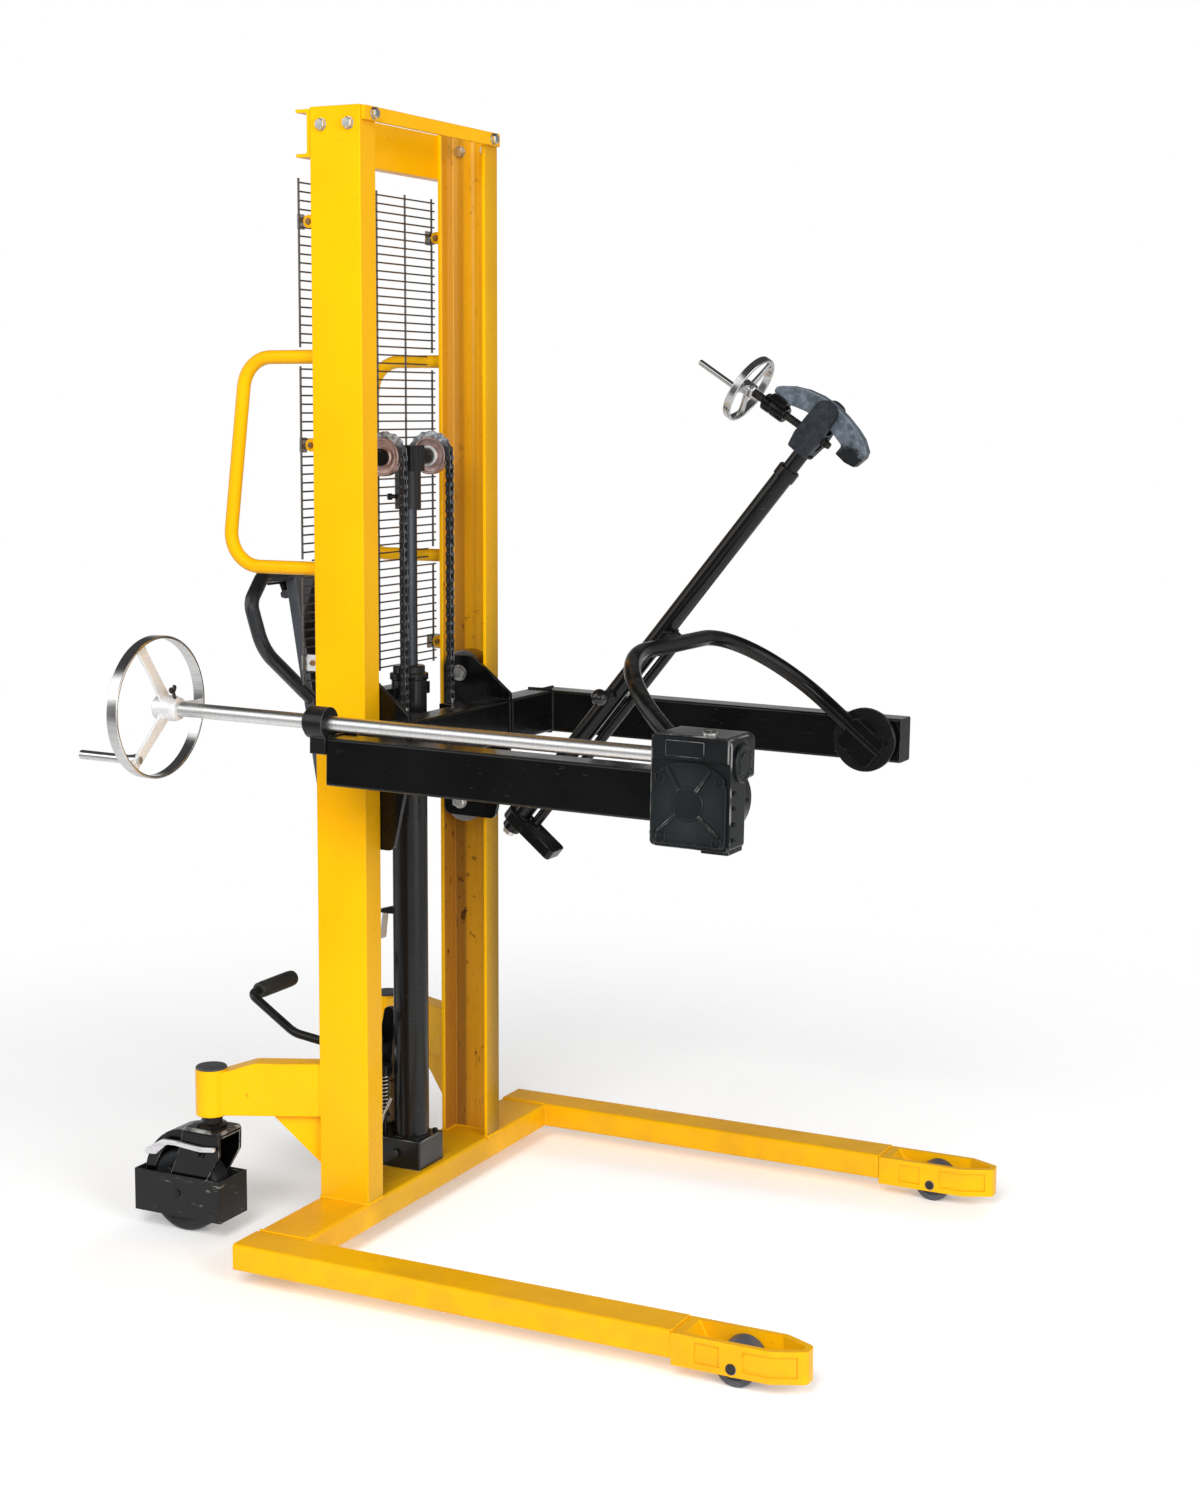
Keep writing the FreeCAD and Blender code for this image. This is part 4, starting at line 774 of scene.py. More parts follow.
# ------------------------------------------------------------ hydraulics
refine("cylinder_tube", BLACK_SATIN, "black_paint", 0.8)
p = Piece()
p.add(lathe([(16.2, 986), (16.2, 1001.2), (17.2, 1002), (26.5, 1002), (28.6, 1000.6), (29, 999), (29, 989.5), (30.2, 988.4), (33.6, 988.0), (35, 986.6), (35, 977.2), (34.0, 976),
             (24.9, 976), (24.9, 941), (16.2, 941)], 64, True), Matrix.Translation((-54, 0, 0)))
for k in range(6):
    a = math.radians(60 * k + 15)
    p.add(rod(2.4, 0, 1.3, 0.3, 14), at((-54 + 34.4 * math.cos(a), 34.4 * math.sin(a), 982), (math.cos(a), math.sin(a), 0)))
p.make("cylinder_gland_turned", BLACK, "chassis", "black_paint", "cylinder_gland", angle=50)

p = Piece()
p.add(bead([(-54 + 32.6 * math.cos(2 * math.pi * k / 40), 32.6 * math.sin(2 * math.pi * k / 40), 130.6) for k in range(41)], 3.2))
p.make("cylinder_weld", BLACK, "chassis", "black_paint")

p = Piece()
p.add(prism(rounded(rect(-112, -12, -43, 43), 4, 5), 76, 130), soft=1.6)
p.add(prism(rounded(rect(-182, -108, -36, 36), 6, 5), 82, 214), soft=3.0, seg=3)
p.add(rod(19, 213, 255, 2.0, 40), Matrix.Translation((-150, 0, 0)))
p.add(lathe([(19, 214), (26, 214), (26, 219), (24, 221), (19, 221)], 40, True), Matrix.Translation((-150, 0, 0)))
for s in (-1, 1):
    ear = rounded([(-176, 180), (-176, 296), (-162, 308), (-142, 312), (-134, 352), (-112, 352), (-112, 318), (-126, 180)], [4, 10, 6, 8, 10, 10, 10, 4], 5)
    p.add(prism(ear, min(s * 36, s * 46), max(s * 36, s * 46)), ON_Y, soft=1.0)
p.add(pipe(14, 8.05, -62, -36, 0.8, 36), at((-125, 0, 335), (0, 1, 0)))
hex_bolt(p, at((-145, -36, 120), (0, -1, 0)), 14, 6, washer=True)
hex_bolt(p, at((-182, 0, 118), (-1, 0, 0)), 17, 7, washer=True)
hex_bolt(p, at((-62, -43, 104), (0, -1, 0)), 14, 6, washer=True)
hex_bolt(p, at((-62, 43, 104), (0, 1, 0)), 14, 6, washer=True)
for x in (-100, -24):
    for y in (-33, 33):
        cap_screw(p, at((x, y, 130), (0, 0, 1)), 5.0, 5.0)
p.add(rod(7.0, 0, 13, 1.0, 24), at((-182, -20, 168), (-1, 0, 0)))
p.make("pump_unit_cast", BLACK_CAST, "chassis", "black_paint", "pump_unit")

p = Piece()
coil = []
for k in range(7 * 24 + 1):
    a = 2 * math.pi * k / 24
    coil.append((-150 + 22.2 * math.cos(a), 22.2 * math.sin(a), 223 + 32.0 * k / (7 * 24)))
p.add(sweep(coil, 1.8, 10))
# return spring on its rod beside the cylinder, lowering lever and its guide
coil = []
for k in range(10 * 20 + 1):
    a = 2 * math.pi * k / 20
    coil.append((-96 + 8.4 * math.cos(a), -26 + 8.4 * math.sin(a), 171 + 70.0 * k / (10 * 20)))
p.add(sweep(coil, 1.7, 10))
p.add(sweep(rounded([(-99, -40, 139), (-90, -40, 170), (-72, -40, 206)], [0, 12, 0], 6, False), 2.8, 14))
p.add(rod(5.0, -44.5, -36.0, 0.8, 24), at((-99, 0, 139), (0, 1, 0)))
p.add(prism(rounded([(-116, 494), (-111, 492), (-105, 541), (-110, 543)], 1.0, 3), -7, 7), ON_Y, soft=0.6)
p.make("pump_spring", ZINC, "chassis", "zinc_bolts")
p = Piece()
p.add(rod(4.4, 129.5, 258, 0.6, 24), Matrix.Translation((-96, -26, 0)))
p.add(prism(rounded(rect(-116, -84, -40, -14), 4, 5), 244, 262), soft=1.2)
p.add(lathe([(4.3, 166), (10.4, 166), (10.8, 166.6), (10.8, 169.4), (4.3, 169.4)], 28, True), Matrix.Translation((-96, -26, 0)))
p.add(prism(rounded([(-86, 541), (-118, 541), (-118, 547), (-86, 556)], [0, 2, 2, 0], 4), -9, 9), ON_Y, soft=1.0)
p.make("pump_linkage", BLACK_SATIN, "chassis", "black_paint")

# ------------------------------------------------------------ lifting gear
refine("piston_rod", ROD, "bright_steel", 0.8)
refine("crosshead", BLACK_SATIN, "black_paint", 0.7)
for s, n in ((-1, "near"), (1, "far")):
    p = Piece()
    half = [(10.1, 8.0), (15.6, 8.0), (16.6, 7.4), (17.6, 5.6), (19.0, 5.0), (27.0, 5.6), (29.0, 6.6), (30.4, 7.8), (31.2, 8.0), (32.8, 8.0), (33.7, 7.6), (34.0, 6.8)]
    p.add(lathe([(r, -y) for r, y in half] + half[::-1], 96, True), at((-54, s * 80, 1378), (0, 1, 0)))
    p.make("chain_pulley_%s_turned" % n, PULLEY, body_of(NODES["chain_pulley_" + n])[0], "bare_steel", "chain_pulley_" + n, angle=50)
p = Piece()
d = Vector((-0.72, -0.69, 0.0))
p.add(rod(3.4, 20, 30, 0.4, 18), at((-54, 0, 1306), d))
p.add(lathe([(0, 29), (5.4, 29), (6.0, 29.8), (6.0, 36), (5.0, 37.4), (0, 37.8)], 24), at((-54, 0, 1306), d))
for s in (-1, 1):
    p.add(lathe([(0, 92.8), (12.4, 92.8), (13, 93.4), (13, 94.6), (12, 95.4), (7.5, 95.4), (7.2, 96.6), (0, 96.8)], 36), at((-54, 0, 1378), (0, s, 0)))
    # thrust washer between the sleeve and the pulley
    p.add(lathe([(15.1, 66.4), (18.2, 66.4), (18.8, 67.0), (18.8, 70.6), (18.2, 71.2), (15.1, 71.2)], 48, True), at((-54, 0, 1378), (0, s, 0)), 1)
p.make("crosshead_fittings", [BLACK_SATIN, ALLOY], "crosshead_body", "black_paint")


def link_plate(length, height, thick):
    """Waisted side plate of a chain link, along its own X axis."""
    r, pts = height / 2.0, []
    for c, a0 in ((length / 2.0, -90), (-length / 2.0, 90)):
        for k in range(9):
            a = math.radians(a0 + 180 * k / 8)
            pts.append((c + r * math.cos(a), r * math.sin(a)))
        pts.append((0.0, (1 if a0 < 0 else -1) * r * 0.74))
    return prism(pts, -thick / 2.0, thick / 2.0)


# both chains: pins at one pitch along the rear run, over the pulley and down the front run
REACH = 39.8
REAR, WRAP, FRONT = 1378.0 - 962.0, math.pi * REACH, 1378.0 - 925.0
COUNT = 62
PITCH = (REAR + WRAP + FRONT - 9.0) / COUNT


def chain_point(s):
    if s <= REAR:
        return Vector((-54 - REACH, 0, 962 + s)), "rear"
    if s <= REAR + WRAP:
        a = math.pi - (s - REAR) / REACH
        return Vector((-54 + REACH * math.cos(a), 0, 1378 + REACH * math.sin(a))), "wrap"
    return Vector((-54 + REACH, 0, 1378 - (s - REAR - WRAP))), "front"


runs = {k: Piece() for k in ("rear", "wrap", "front")}
for side in (-80.0, 80.0):
    move = Vector((0, side, 0))
    for i in range(COUNT + 1):
        a, run = chain_point(4.5 + PITCH * i)
        pc = runs[run]
        turn = at(a + move, (0, 1, 0))
        pc.add(lathe([(2.3, -3.2), (4.6, -3.2), (4.9, -2.9), (4.9, 2.9), (4.6, 3.2), (2.3, 3.2)], 18, True), turn, 1)
        pc.add(rod(2.3, -7.3, 7.3, 0.4, 14), turn, 1)
        if i == COUNT:
            break
        b, run_b = chain_point(4.5 + PITCH * (i + 1))
        mid = chain_point(4.5 + PITCH * (i + 0.5))[1]
        along = (b - a).normalized()
        up = Vector((0, 1, 0))
        basis = Matrix((along, up.cross(along), up)).transposed().to_4x4()
        basis.translation = (a + b) / 2.0 + move
        off = 6.2 if i % 2 else 4.2
        for y in (-off, off):
            runs[mid].add(link_plate(PITCH, 11.2, 1.7), basis @ Matrix.Translation((0, 0, y)), 0, soft=0.26, seg=1)
rear = runs["rear"].mesh("chain_rear_links", [CHAIN, CHAIN_ROLL])
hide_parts("chain_rear")
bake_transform(rear, "chassis", "crosshead_body", M0 @ Vector((-93, 0, 975)), M0 @ Vector((-93, 0, 1372)))
runs["wrap"].make("chain_wrap_links", [CHAIN_TOP, CHAIN_TOP], "crosshead_body", "chain_steel", "chain_wraps")
front = runs["front"].mesh("chain_front_links", [CHAIN, CHAIN_ROLL])
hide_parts("chain_front")
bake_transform(front, "carriage", "crosshead_body", M0 @ Vector((-15, 0, 940)), M0 @ Vector((-15, 0, 1372)))

# ------------------------------------------------------------ carriage
p = Piece()
p.add(prism(rounded(rect(3, 57, 845, 925), 5, 5), -346, 346, [rounded(rect(8, 52, 850, 920), 2, 3)]), ON_Y, soft=0.8)
for s in (-1, 1):
    p.add(prism(rounded(rect(-31, 9, s * 80 - 14, s * 80 + 14), 2, 3), 893, 925), soft=1.2)
    p.add(bead([(3, s * 80 - 14, 925), (3, s * 80 + 14, 925)], 2.4))
    p.add(bead([(2.6, s * 80 - 14.4, 895), (2.6, s * 80 - 14.4, 924)], 2.2))
    p.add(bead([(2.6, s * 80 + 14.4, 895), (2.6, s * 80 + 14.4, 924)], 2.2))
    for y in (174.6, 185.4):
        p.add(bead([(4, s * y, 925.6), (56, s * y, 925.6)], 2.6))
        p.add(bead([(4, s * y, 844.4), (56, s * y, 844.4)], 2.4))
    p.add(bead([(57.6, s * 174.6, 848), (57.6, s * 174.6, 922)], 2.4))
    p.add(bead([(57.6, s * 185.4, 848), (57.6, s * 185.4, 922)], 2.4))
p.make("carriage_beam_welded", BLACK, "carriage", "black_paint", "carriage_beam")

p = Piece()
for s in (-1, 1):
    p.add(prism(rounded(rect(-6.5, 6.5, -4.2, 4.2), 2, 3), 925, 935), Matrix.Translation((-14.8, s * 80, 0)), soft=0.8)
    p.add(rod(5.0, 878, 893.5, 0.8, 24), Matrix.Translation((-14.8, s * 80, 0)))
    p.add(loft([hexagon(16, 885), hexagon(16, 893)]), Matrix.Translation((-14.8, s * 80, 0)), soft=0.5)
p.make("chain_anchors", ZINC, "carriage", "zinc_bolts")

refine("carriage_plates", BLACK, "black_paint", 0.8, merge=0.4)
refine("carriage_arms", BLACK, "black_paint", 1.0, 3)
refine("shaft_bearings", BLACK_SATIN, "black_paint", 0.8)

p = Piece()
for s in (-1, 1):
    for z in (970, 727):
        p.add(rod(12.5, 174.0, 227.5, 1.0, 36), at((-50, 0, z), (0, s, 0)), 0)
        hex_bolt(p, at((-50, s * 175, z), (0, -s, 0)), 24, 8, 0, spin=rnd.uniform(0, 60))
p.make("guide_axle_bolts", ZINC, "carriage", "zinc_bolts", "carriage_bolts")
for n in ("near_top", "near_low", "far_top", "far_low"):
    refine("guide_roller_" + n, STEEL, "bare_steel", 0.6)

# arm details: closing weld at the gearbox, seam beads to the beam
p = Piece()
for s, x1 in ((-1, -67), (1, 62)):
    ys = sorted((s * 346, s * 400))
    p.add(bead([(-669, ys[0] + 4, 40.4), (-669, ys[1] - 4, 40.4)], 2.6))
p.add(bead([(-67.5, -400.5, -36), (-67.5, -400.5, 36)], 2.6))
p.add(bead([(-67.5, -396, 40.4), (-67.5, -350, 40.4)], 2.6))
p.add(bead([(-67.5, -396, -40.4), (-67.5, -350, -40.4)], 2.6))
p.make("arm_welds", BLACK, "carriage", "black_paint", where=ARM)
p = Piece()
for s in (-1, 1):
    p.add(bead([(57.6, s * 345.6, 848), (57.6, s * 345.6, 922)], 3.0))
    p.add(bead([(4, s * 345.6, 925.6), (56, s * 345.6, 925.6)], 3.0))
    p.add(bead([(4, s * 345.6, 844.4), (56, s * 345.6, 844.4)], 2.8))
p.make("beam_welds", BLACK, "carriage", "black_paint")

# ------------------------------------------------------------ gearbox
p = Piece()


def case(y0, y1, y_low, low_r):
    body = prism(rounded(rect(-67, 67, y_low, 103), [low_r, low_r, 13, 13], 8), y0, y1)
    body.transform(ON_Y)
    bore = lathe([(0, -440), (52, -440), (52, -352), (0, -352)], 64)
    bore.transform(at((0, 0, 0), (0, 1, 0)))
    worm = lathe([(0, -60), (24, -60), (24, 60), (0, 60)], 48)
    worm.transform(at((0, -390, 63), (1, 0, 0)))
    return carve(body, bore, worm)


p.add(case(-428, -373, -70, 8), soft=2.4, seg=3)
p.add(case(-376, -340, 34, 6), soft=2.4, seg=3)
# round hub behind the case
p.add(lathe([(52, -375), (64, -375), (64, -342.5), (62, -340.2), (17.8, -340.2), (17.8, -352), (52, -352)], 80, True), at((0, 0, 0), (0, 1, 0)))
for k in range(5):
    a = math.radians(-62 + 31 * k)
    cap_screw(p, at((64.0 * math.cos(a), -357, 64.0 * math.sin(a)), (math.cos(a), 0, math.sin(a))), 3.2, 2.0)
p.add(prism(rounded(rect(-433.0, -352, 64, 101.5), [4, 8, 8, 5], 6), -64, 64), ON_X, soft=2.0)
p.add(prism(rounded(rect(-40, 24, 70.5, 95), 2.5, 4), -434.6, -431), ON_Y, soft=0.8)
for z in (66.6, 98.4):
    p.add(prism(rounded(rect(-60, 60, z - 0.9, z + 0.9), 0.8, 3), -434.0, -431), ON_Y)
p.add(lathe([(0, -2), (31, -2), (31, 3.4), (29.6, 5.0), (24, 5.4), (23, 4.4), (17, 4.4), (16, 5.8), (0, 6.0)], 56), at((67, -390, 63), (1, 0, 0)))
for k in range(6):
    a = math.radians(60 * k + 30)
    cap_screw(p, at((71.6, -390 + 26.6 * math.cos(a), 63 + 26.6 * math.sin(a)), (1, 0, 0)), 3.0, 1.4)
p.add(lathe([(12.6, -73), (21.0, -73), (22, -72), (22, -66), (12.6, -66)], 48, True), at((0, -390, 63), (1, 0, 0)))
for z in (-52, -28, -4, 20):
    cap_screw(p, at((67, -418, z), (1, 0, 0)), 3.6, 3.4)
cap_screw(p, at((-67, -418, -52), (-1, 0, 0)), 3.6, 3.4)
p.add(prism(rounded(rect(-58, 64, -70.0, -60), 3, 3), -431, -376), ON_Y, soft=1.4)
p.add(prism(rounded(rect(20, 66, -74.0, -66), 2, 3), -430, -378), ON_Y, soft=1.2)
p.make("gearbox_case", BLACK_CAST, "carriage", "black_paint", "gearbox_housing", where=ARM)

p = Piece()
plate = rounded([(-61, -65), (61, -65), (61, 28), (46, 53), (22, 61.5), (-22, 61.5), (-46, 53), (-61, 28)], [7, 7, 26, 26, 30, 30, 26, 26], 6)


def ray(a):
    """Distance from the cover's centre to its outline at angle a."""
    d, best = Vector((math.cos(a), math.sin(a))), 0.0
    for i in range(len(plate)):
        u, v = plate[i - 1].xy, plate[i].xy
        den = d.x * (v.y - u.y) - d.y * (v.x - u.x)
        if abs(den) > 1e-9:
            t = (u.x * (v.y - u.y) - u.y * (v.x - u.x)) / den
            k = (u.x * d.y - u.y * d.x) / den
            if t > 0 and -1e-6 <= k <= 1 + 1e-6:
                best = max(best, t)
    return best


# a shallow roof of four faces up to the round boss
spokes = [math.radians(2.5 * k) for k in range(144)]
reach = [ray(a) for a in spokes]
rows = []
for f, y in ((1.0, -428.0), (1.0, -432.6), (0.985, -433.8), (0.93, -434.4), (0.90, -433.4)):
    rows.append([(r * f * math.cos(a), r * f * math.sin(a), y) for a, r in zip(spokes, reach)])
for r, y in ((29.0, -438.0), (26.0, -438.0), (25.0, -439.6), (23.5, -440.0)):
    rows.append([(r * math.cos(a), r * math.sin(a), y) for a in spokes])
p.add(loft(rows), ON_Y)
for a, far_r in ((56, 66), (124, 66), (222, 70), (318, 70)):
    turn = ON_Y @ Matrix.Rotation(math.radians(a), 4, "Z")
    p.add(loft([[(25, -4.4, -434), (far_r, -3.6, -430), (far_r, 3.6, -430), (25, 4.4, -434)],
                [(25, -2.2, -441.4), (far_r - 2, -1.7, -437.2), (far_r - 2, 1.7, -437.2), (25, 2.2, -441.4)]]), turn, soft=0.9)
for x, z in ((-46, -55), (46, -55), (-49, 37), (49, 37)):
    p.add(lathe([(5.9, 430), (9.2, 430), (9.2, 435.2), (8.4, 436.0), (6.6, 436.0), (5.9, 435.2)], 32, True), at((x, 0, z), (0, -1, 0)))
    cap_screw(p, at((x, -430.8, z), (0, -1, 0)), 5.4, 3.2)
p.make("gearbox_cover_ribbed", BLACK_CAST, "carriage", "black_paint", "gearbox_cover", where=ARM)

p = Piece()
p.add(lathe([(0, 102.5), (11.6, 102.5), (12.4, 103.2), (12.4, 106.6), (11.6, 107.4), (0, 107.4)], 48), Matrix.Translation((20, -404, 0)))
p.add(loft([hexagon(17, 107.2), hexagon(17, 110.6), hexagon(17, 111.4, 0.9)]), Matrix.Translation((20, -404, 0)), 1, soft=0.4)
p.make("gearbox_breather", [ZINC, DARK_PIN], "carriage", "zinc_bolts", where=ARM)

refine("worm_wheel", BRONZE, "bronze", 0.4)
NODES["worm"].data.materials.clear()
NODES["worm"].data.materials.append(STEEL)

# ------------------------------------------------------------ crank shaft and big handwheel
refine("drive_rod", GROUND, "bright_steel", 0.8)
refine("crank_grip", CHROME, "bright_steel", 0.6)
p = Piece()
AXLE = at((-1022, -390, 63), (1, 0, 0))
section = rounded([(118.0, -11), (122.95, -11), (122.95, 11), (118.0, 11)], [1.6, 2.2, 2.2, 1.6], 5)
p.add(lathe([(q.x, q.y) for q in section], 128, True), AXLE)
p.add(lathe([(12.53, 3), (18.0, 3), (20.6, 4.5), (22, 7), (22, 38), (20.6, 41), (19.4, 47.5), (18.0, 49), (12.53, 49)], 56, True), AXLE, 1)
for k in range(3):
    a = 235.0 + 120 * k
    turn = Matrix.Translation((-1022, -390, 63)) @ Matrix.Rotation(math.radians(a - 90), 4, "X")
    # dished spoke, from the hub out to the rim
    p.add(loft([[(x - 2.5, -w, r), (x + 2.5, -w, r), (x + 2.5, w, r), (x - 2.5, w, r)]
                for x, w, r in ((22.0, 12.5, 16.0), (21.0, 12.0, 26.0), (14.0, 9.8, 66.0), (5.0, 10.2, 106.0), (3.0, 11.0, 119.5))]), turn, 1, soft=0.9)
cy, cz = -390 + 103 * math.cos(math.radians(235)), 63 + 103 * math.sin(math.radians(235))
p.add(rod(5.0, -115, 0, 0.8, 24), at((-1022, cy, cz), (1, 0, 0)))
p.add(lathe([(0, -10.2), (7.6, -10.2), (9, -9), (9, -3), (10.5, -1.5), (10.5, 5.5), (9.5, 6.5), (0, 6.5)], 32), at((-1022, cy, cz), (1, 0, 0)))
hex_bolt(p, at((-1015.6, cy, cz), (1, 0, 0)), 13, 5, washer=False)
p.make("handwheel_chrome", [CHROME, ALLOY], "drive", "bright_steel", "handwheel", where=ARM, angle=50)
p = Piece()
p.add(rod(3.0, 19, 34, 0.4, 18), at((-979, -390, 63), (0, -0.35, 1)))
for a in (-38, 38):
    p.add(lathe([(0, -1), (3.4, 0), (4.6, 3), (5.2, 8), (4.4, 11.4), (2.4, 12.8), (0, 13.2)], 20), at((-979, -390, 63), (0, -0.35, 1)) @ Matrix.Translation((0, 0, 31)) @ Matrix.Rotation(math.radians(a), 4, "X") @ Matrix.Diagonal((0.55, 1.0, 1.0, 1.0)))
p.make("handwheel_thumb_screw", KNOB, "drive", "knob_plastic", where=ARM)

# ------------------------------------------------------------ cradle and pole
refine("trunnion_hubs", BLACK_SATIN, "bare_steel", 1.0)
refine("cradle_hoop", BLACK, "black_paint", 0.8)
p = Piece()
p.add(pipe(17, 13.55, -462, 372, 0.8, 56), Matrix.Translation((-325, 0, 0)))
p.add(lathe([(13.6, 352), (18.6, 352), (19.2, 352.8), (19.2, 370), (18.4, 371.4), (13.6, 371.4)], 48, True), Matrix.Translation((-325, 0, 0)))
p.add(block(-319, -294, -24, 24, -4, 20), soft=2.0)
p.add(lathe([(5.06, 9), (10, 9), (10, 29), (9, 30), (5.06, 30)], 32, True), at((-325, 0, -135), (0, -1, 0)))
p.add(prism(rounded(rect(-349, -230, -24, 24), [20, 8, 8, 20], 8), -446, -426), soft=1.2)
p.add(rod(9, -428, 0, 0.6, 32), Matrix.Translation((-294, 0, 0)))
for z in (-446.6, -425.4):
    p.add(bead([(-325 + 17.4 * math.cos(2 * math.pi * k / 32), 17.4 * math.sin(2 * math.pi * k / 32), z) for k in range(33)], 2.4))
p.add(bead([(-294 + 9.4 * math.cos(2 * math.pi * k / 24), 9.4 * math.sin(2 * math.pi * k / 24), -425.6) for k in range(25)], 2.2))
for z in (-4.5, 20.5):
    p.add(bead([(-312, -24, z), (-312, 24, z)], 2.6))
for y in (-24.4, 24.4):
    p.add(bead([(-308, y, -2), (-308, y, 18)], 2.4))
p.make("pole_sleeve_welded", BLACK, "cradle", "black_paint", "pole_sleeve", where=CRADLE)
p = Piece()
hex_bolt(p, at((-325, 0, -462), (0, 0, -1)), 21, 9)
p.make("pole_end_bolt", ZINC, "cradle", "zinc_bolts", where=CRADLE)

p = Piece()
p.add(rod(5.0, 11.2, 51, 0.6, 24), at((-325, 0, -135), (0, -1, 0)))
ball = [(0, 48.0), (5.6, 48.0), (5.8, 49.2)] + [(14.5 * math.sin(math.radians(t)), 62 - 14.5 * math.cos(math.radians(t))) for t in range(30, 181, 6)]
ball[-1] = (0, 76.5)
p.add(lathe(ball, 40), at((-325, 0, -135), (0, -1, 0)), 1)
p.add(lathe([(5.0, 29.8), (8.2, 29.8), (8.8, 30.4), (8.8, 33), (8.2, 33.6), (5.0, 33.6)], 28, True), at((-325, 0, -135), (0, -1, 0)))
p.make("lock_plunger_ball", [DARK_PIN, KNOB], "plunger", "knob_plastic", "lock_plunger", where=CRADLE)

refine("pole_tube", BLACK, "black_paint", 0.5)
p = Piece()


def head():
    out = rounded([(-347, 405), (-311, 405), (-306, 436), (-309, 469), (-311, 505), (-349, 505), (-352, 462), (-352, 429)], [4, 4, 30, 30, 17, 17, 30, 30], 7)
    body = prism(out, -22, 22)
    body.transform(ON_Y)
    slot = prism(rounded(rect(-11, 11, 456, 560), [3, 3, 0, 0], 3), -400, -260)
    slot.transform(ON_X)
    eye = prism(rounded(rect(-7.8, 7.8, 421, 453.5), 7.7, 8), -400, -260)
    eye.transform(ON_X)
    bore = lathe([(0, 380), (13.55, 380), (13.55, 412), (0, 412)], 40)
    bore.transform(Matrix.Translation((-325, 0, 0)))
    return carve(body, slot, eye, bore)


p.add(head(), soft=2.2, seg=3)
p.add(lathe([(13.6, 405.2), (17.0, 405.2), (19.0, 406.6), (19.6, 410), (13.6, 410)], 40, True), Matrix.Translation((-325, 0, 0)))
p.make("pole_head_forged", FORGED, "pole", "forged_steel", "pole_head", where=CRADLE)
p = Piece()
for s in (-1, 1):
    p.add(lathe([(0, 20), (7, 20), (7, 21.5), (9.6, 21.5), (9.2, 22.8), (7.4, 23.8), (4, 24.2), (0, 24.2)], 40), at((-330, 0, 485.5), (0, s, 0)))
p.add(rod(7.0, -22, 22, 0.5, 28), at((-330, 0, 485.5), (0, 1, 0)))
p.make("jaw_pin_headed", FORGED, "pole", "zinc_bolts", "jaw_pin", where=CRADLE)

p = Piece()
jaw_out = [(-426, 455), (-426.5, 463), (-420.5, 469.5), (-405, 481.4), (-380.5, 493.6), (-354.8, 501.2), (-328.2, 504.1), (-300.9, 502.5),
           (-274, 497.9), (-254.9, 492.3), (-236.5, 480.7), (-233.2, 470), (-238, 447)]
jaw_in = [(-256.3, 442.6), (-277.5, 443.8), (-277, 460.4), (-305.4, 466.6), (-326.7, 467.8), (-361.2, 463.7), (-388.8, 454.5), (-402.9, 453), (-418.8, 451.6)]
jaw = rounded(jaw_out + jaw_in, [2, 2, 3, 5, 6, 6, 6, 6, 6, 6, 4, 4, 4] + [3, 2.5, 4, 6, 6, 6, 6, 3, 2], 4)
p.add(prism(jaw, -10, 10), ON_Y, soft=2.6, seg=3)
p.make("clamp_jaw_forged", FORGED_JAW, "jaw", "forged_steel", "clamp_jaw", where=CRADLE)

SCREW = at((-340.0, 0.0, 439.4), (math.cos(math.radians(6)), 0, math.sin(math.radians(6))))
p = Piece()
p.add(lathe([(7.06, -92), (12.8, -92), (15, -90), (15, -76), (14.0, -74.8), (14.0, -72.6), (15, -71.4), (15, -49), (13.2, -46), (7.06, -46)], 48, True), SCREW)
p.add(prism(rounded([(-430, 440), (-392, 444), (-394, 456), (-421, 454.5)], [3, 3, 3, 3], 5), -11.5, 11.5), ON_Y, soft=1.4)
for s in (-1, 1):
    p.add(bead([(-417, s * 10.4, 453.6), (-397, s * 10.4, 455.0)], 2.0))
    p.add(bead([(-427, s * 11.6, 441.4), (-394, s * 11.6, 445.0)], 1.8))
p.make("clamp_yoke_turned", BLACK, "jaw", "black_paint", "clamp_yoke", where=CRADLE)


def threaded(r, depth, pitch, z0, z1, seg=28, per=6):
    rows, bm = [], bmesh.new()
    n = int((z1 - z0) / pitch * per)
    for i in range(n + 1):
        z = z0 + (z1 - z0) * i / n
        fade = min(1.0, (z - z0) / (pitch * 0.8), (z1 - z) / (pitch * 0.8))
        row = []
        for k in range(seg):
            t = (z / pitch - k / seg) % 1.0
            wave = abs(2 * t - 1)
            rr = r - depth * (1.0 - max(0.0, min(1.0, wave * 1.5 - 0.25))) * max(0.0, fade)
            row.append(bm.verts.new((rr * math.cos(2 * math.pi * k / seg), rr * math.sin(2 * math.pi * k / seg), z)))
        rows.append(row)
    for a, b in zip(rows, rows[1:]):
        for k in range(seg):
            j = (k + 1) % seg
            bm.faces.new((a[k], a[j], b[j], b[k]))
    bm.faces.new(rows[0])
    bm.faces.new(rows[-1])
    bmesh.ops.recalc_face_normals(bm, faces=bm.faces)
    return bm


p = Piece()
p.add(rod(7.0, -134, -44, 1.4, 32), SCREW)
p.add(threaded(7.0, 1.1, 4.0, -46.0, 40.0), SCREW)
p.add(lathe([(0, 39.6), (5.8, 39.6), (5.8, 44.6), (4.6, 46), (0, 46)], 28), SCREW)
p.make("clamp_screw_threaded", DARK_PIN, "screw", "zinc_bolts", "clamp_screw", where=CRADLE, angle=60)

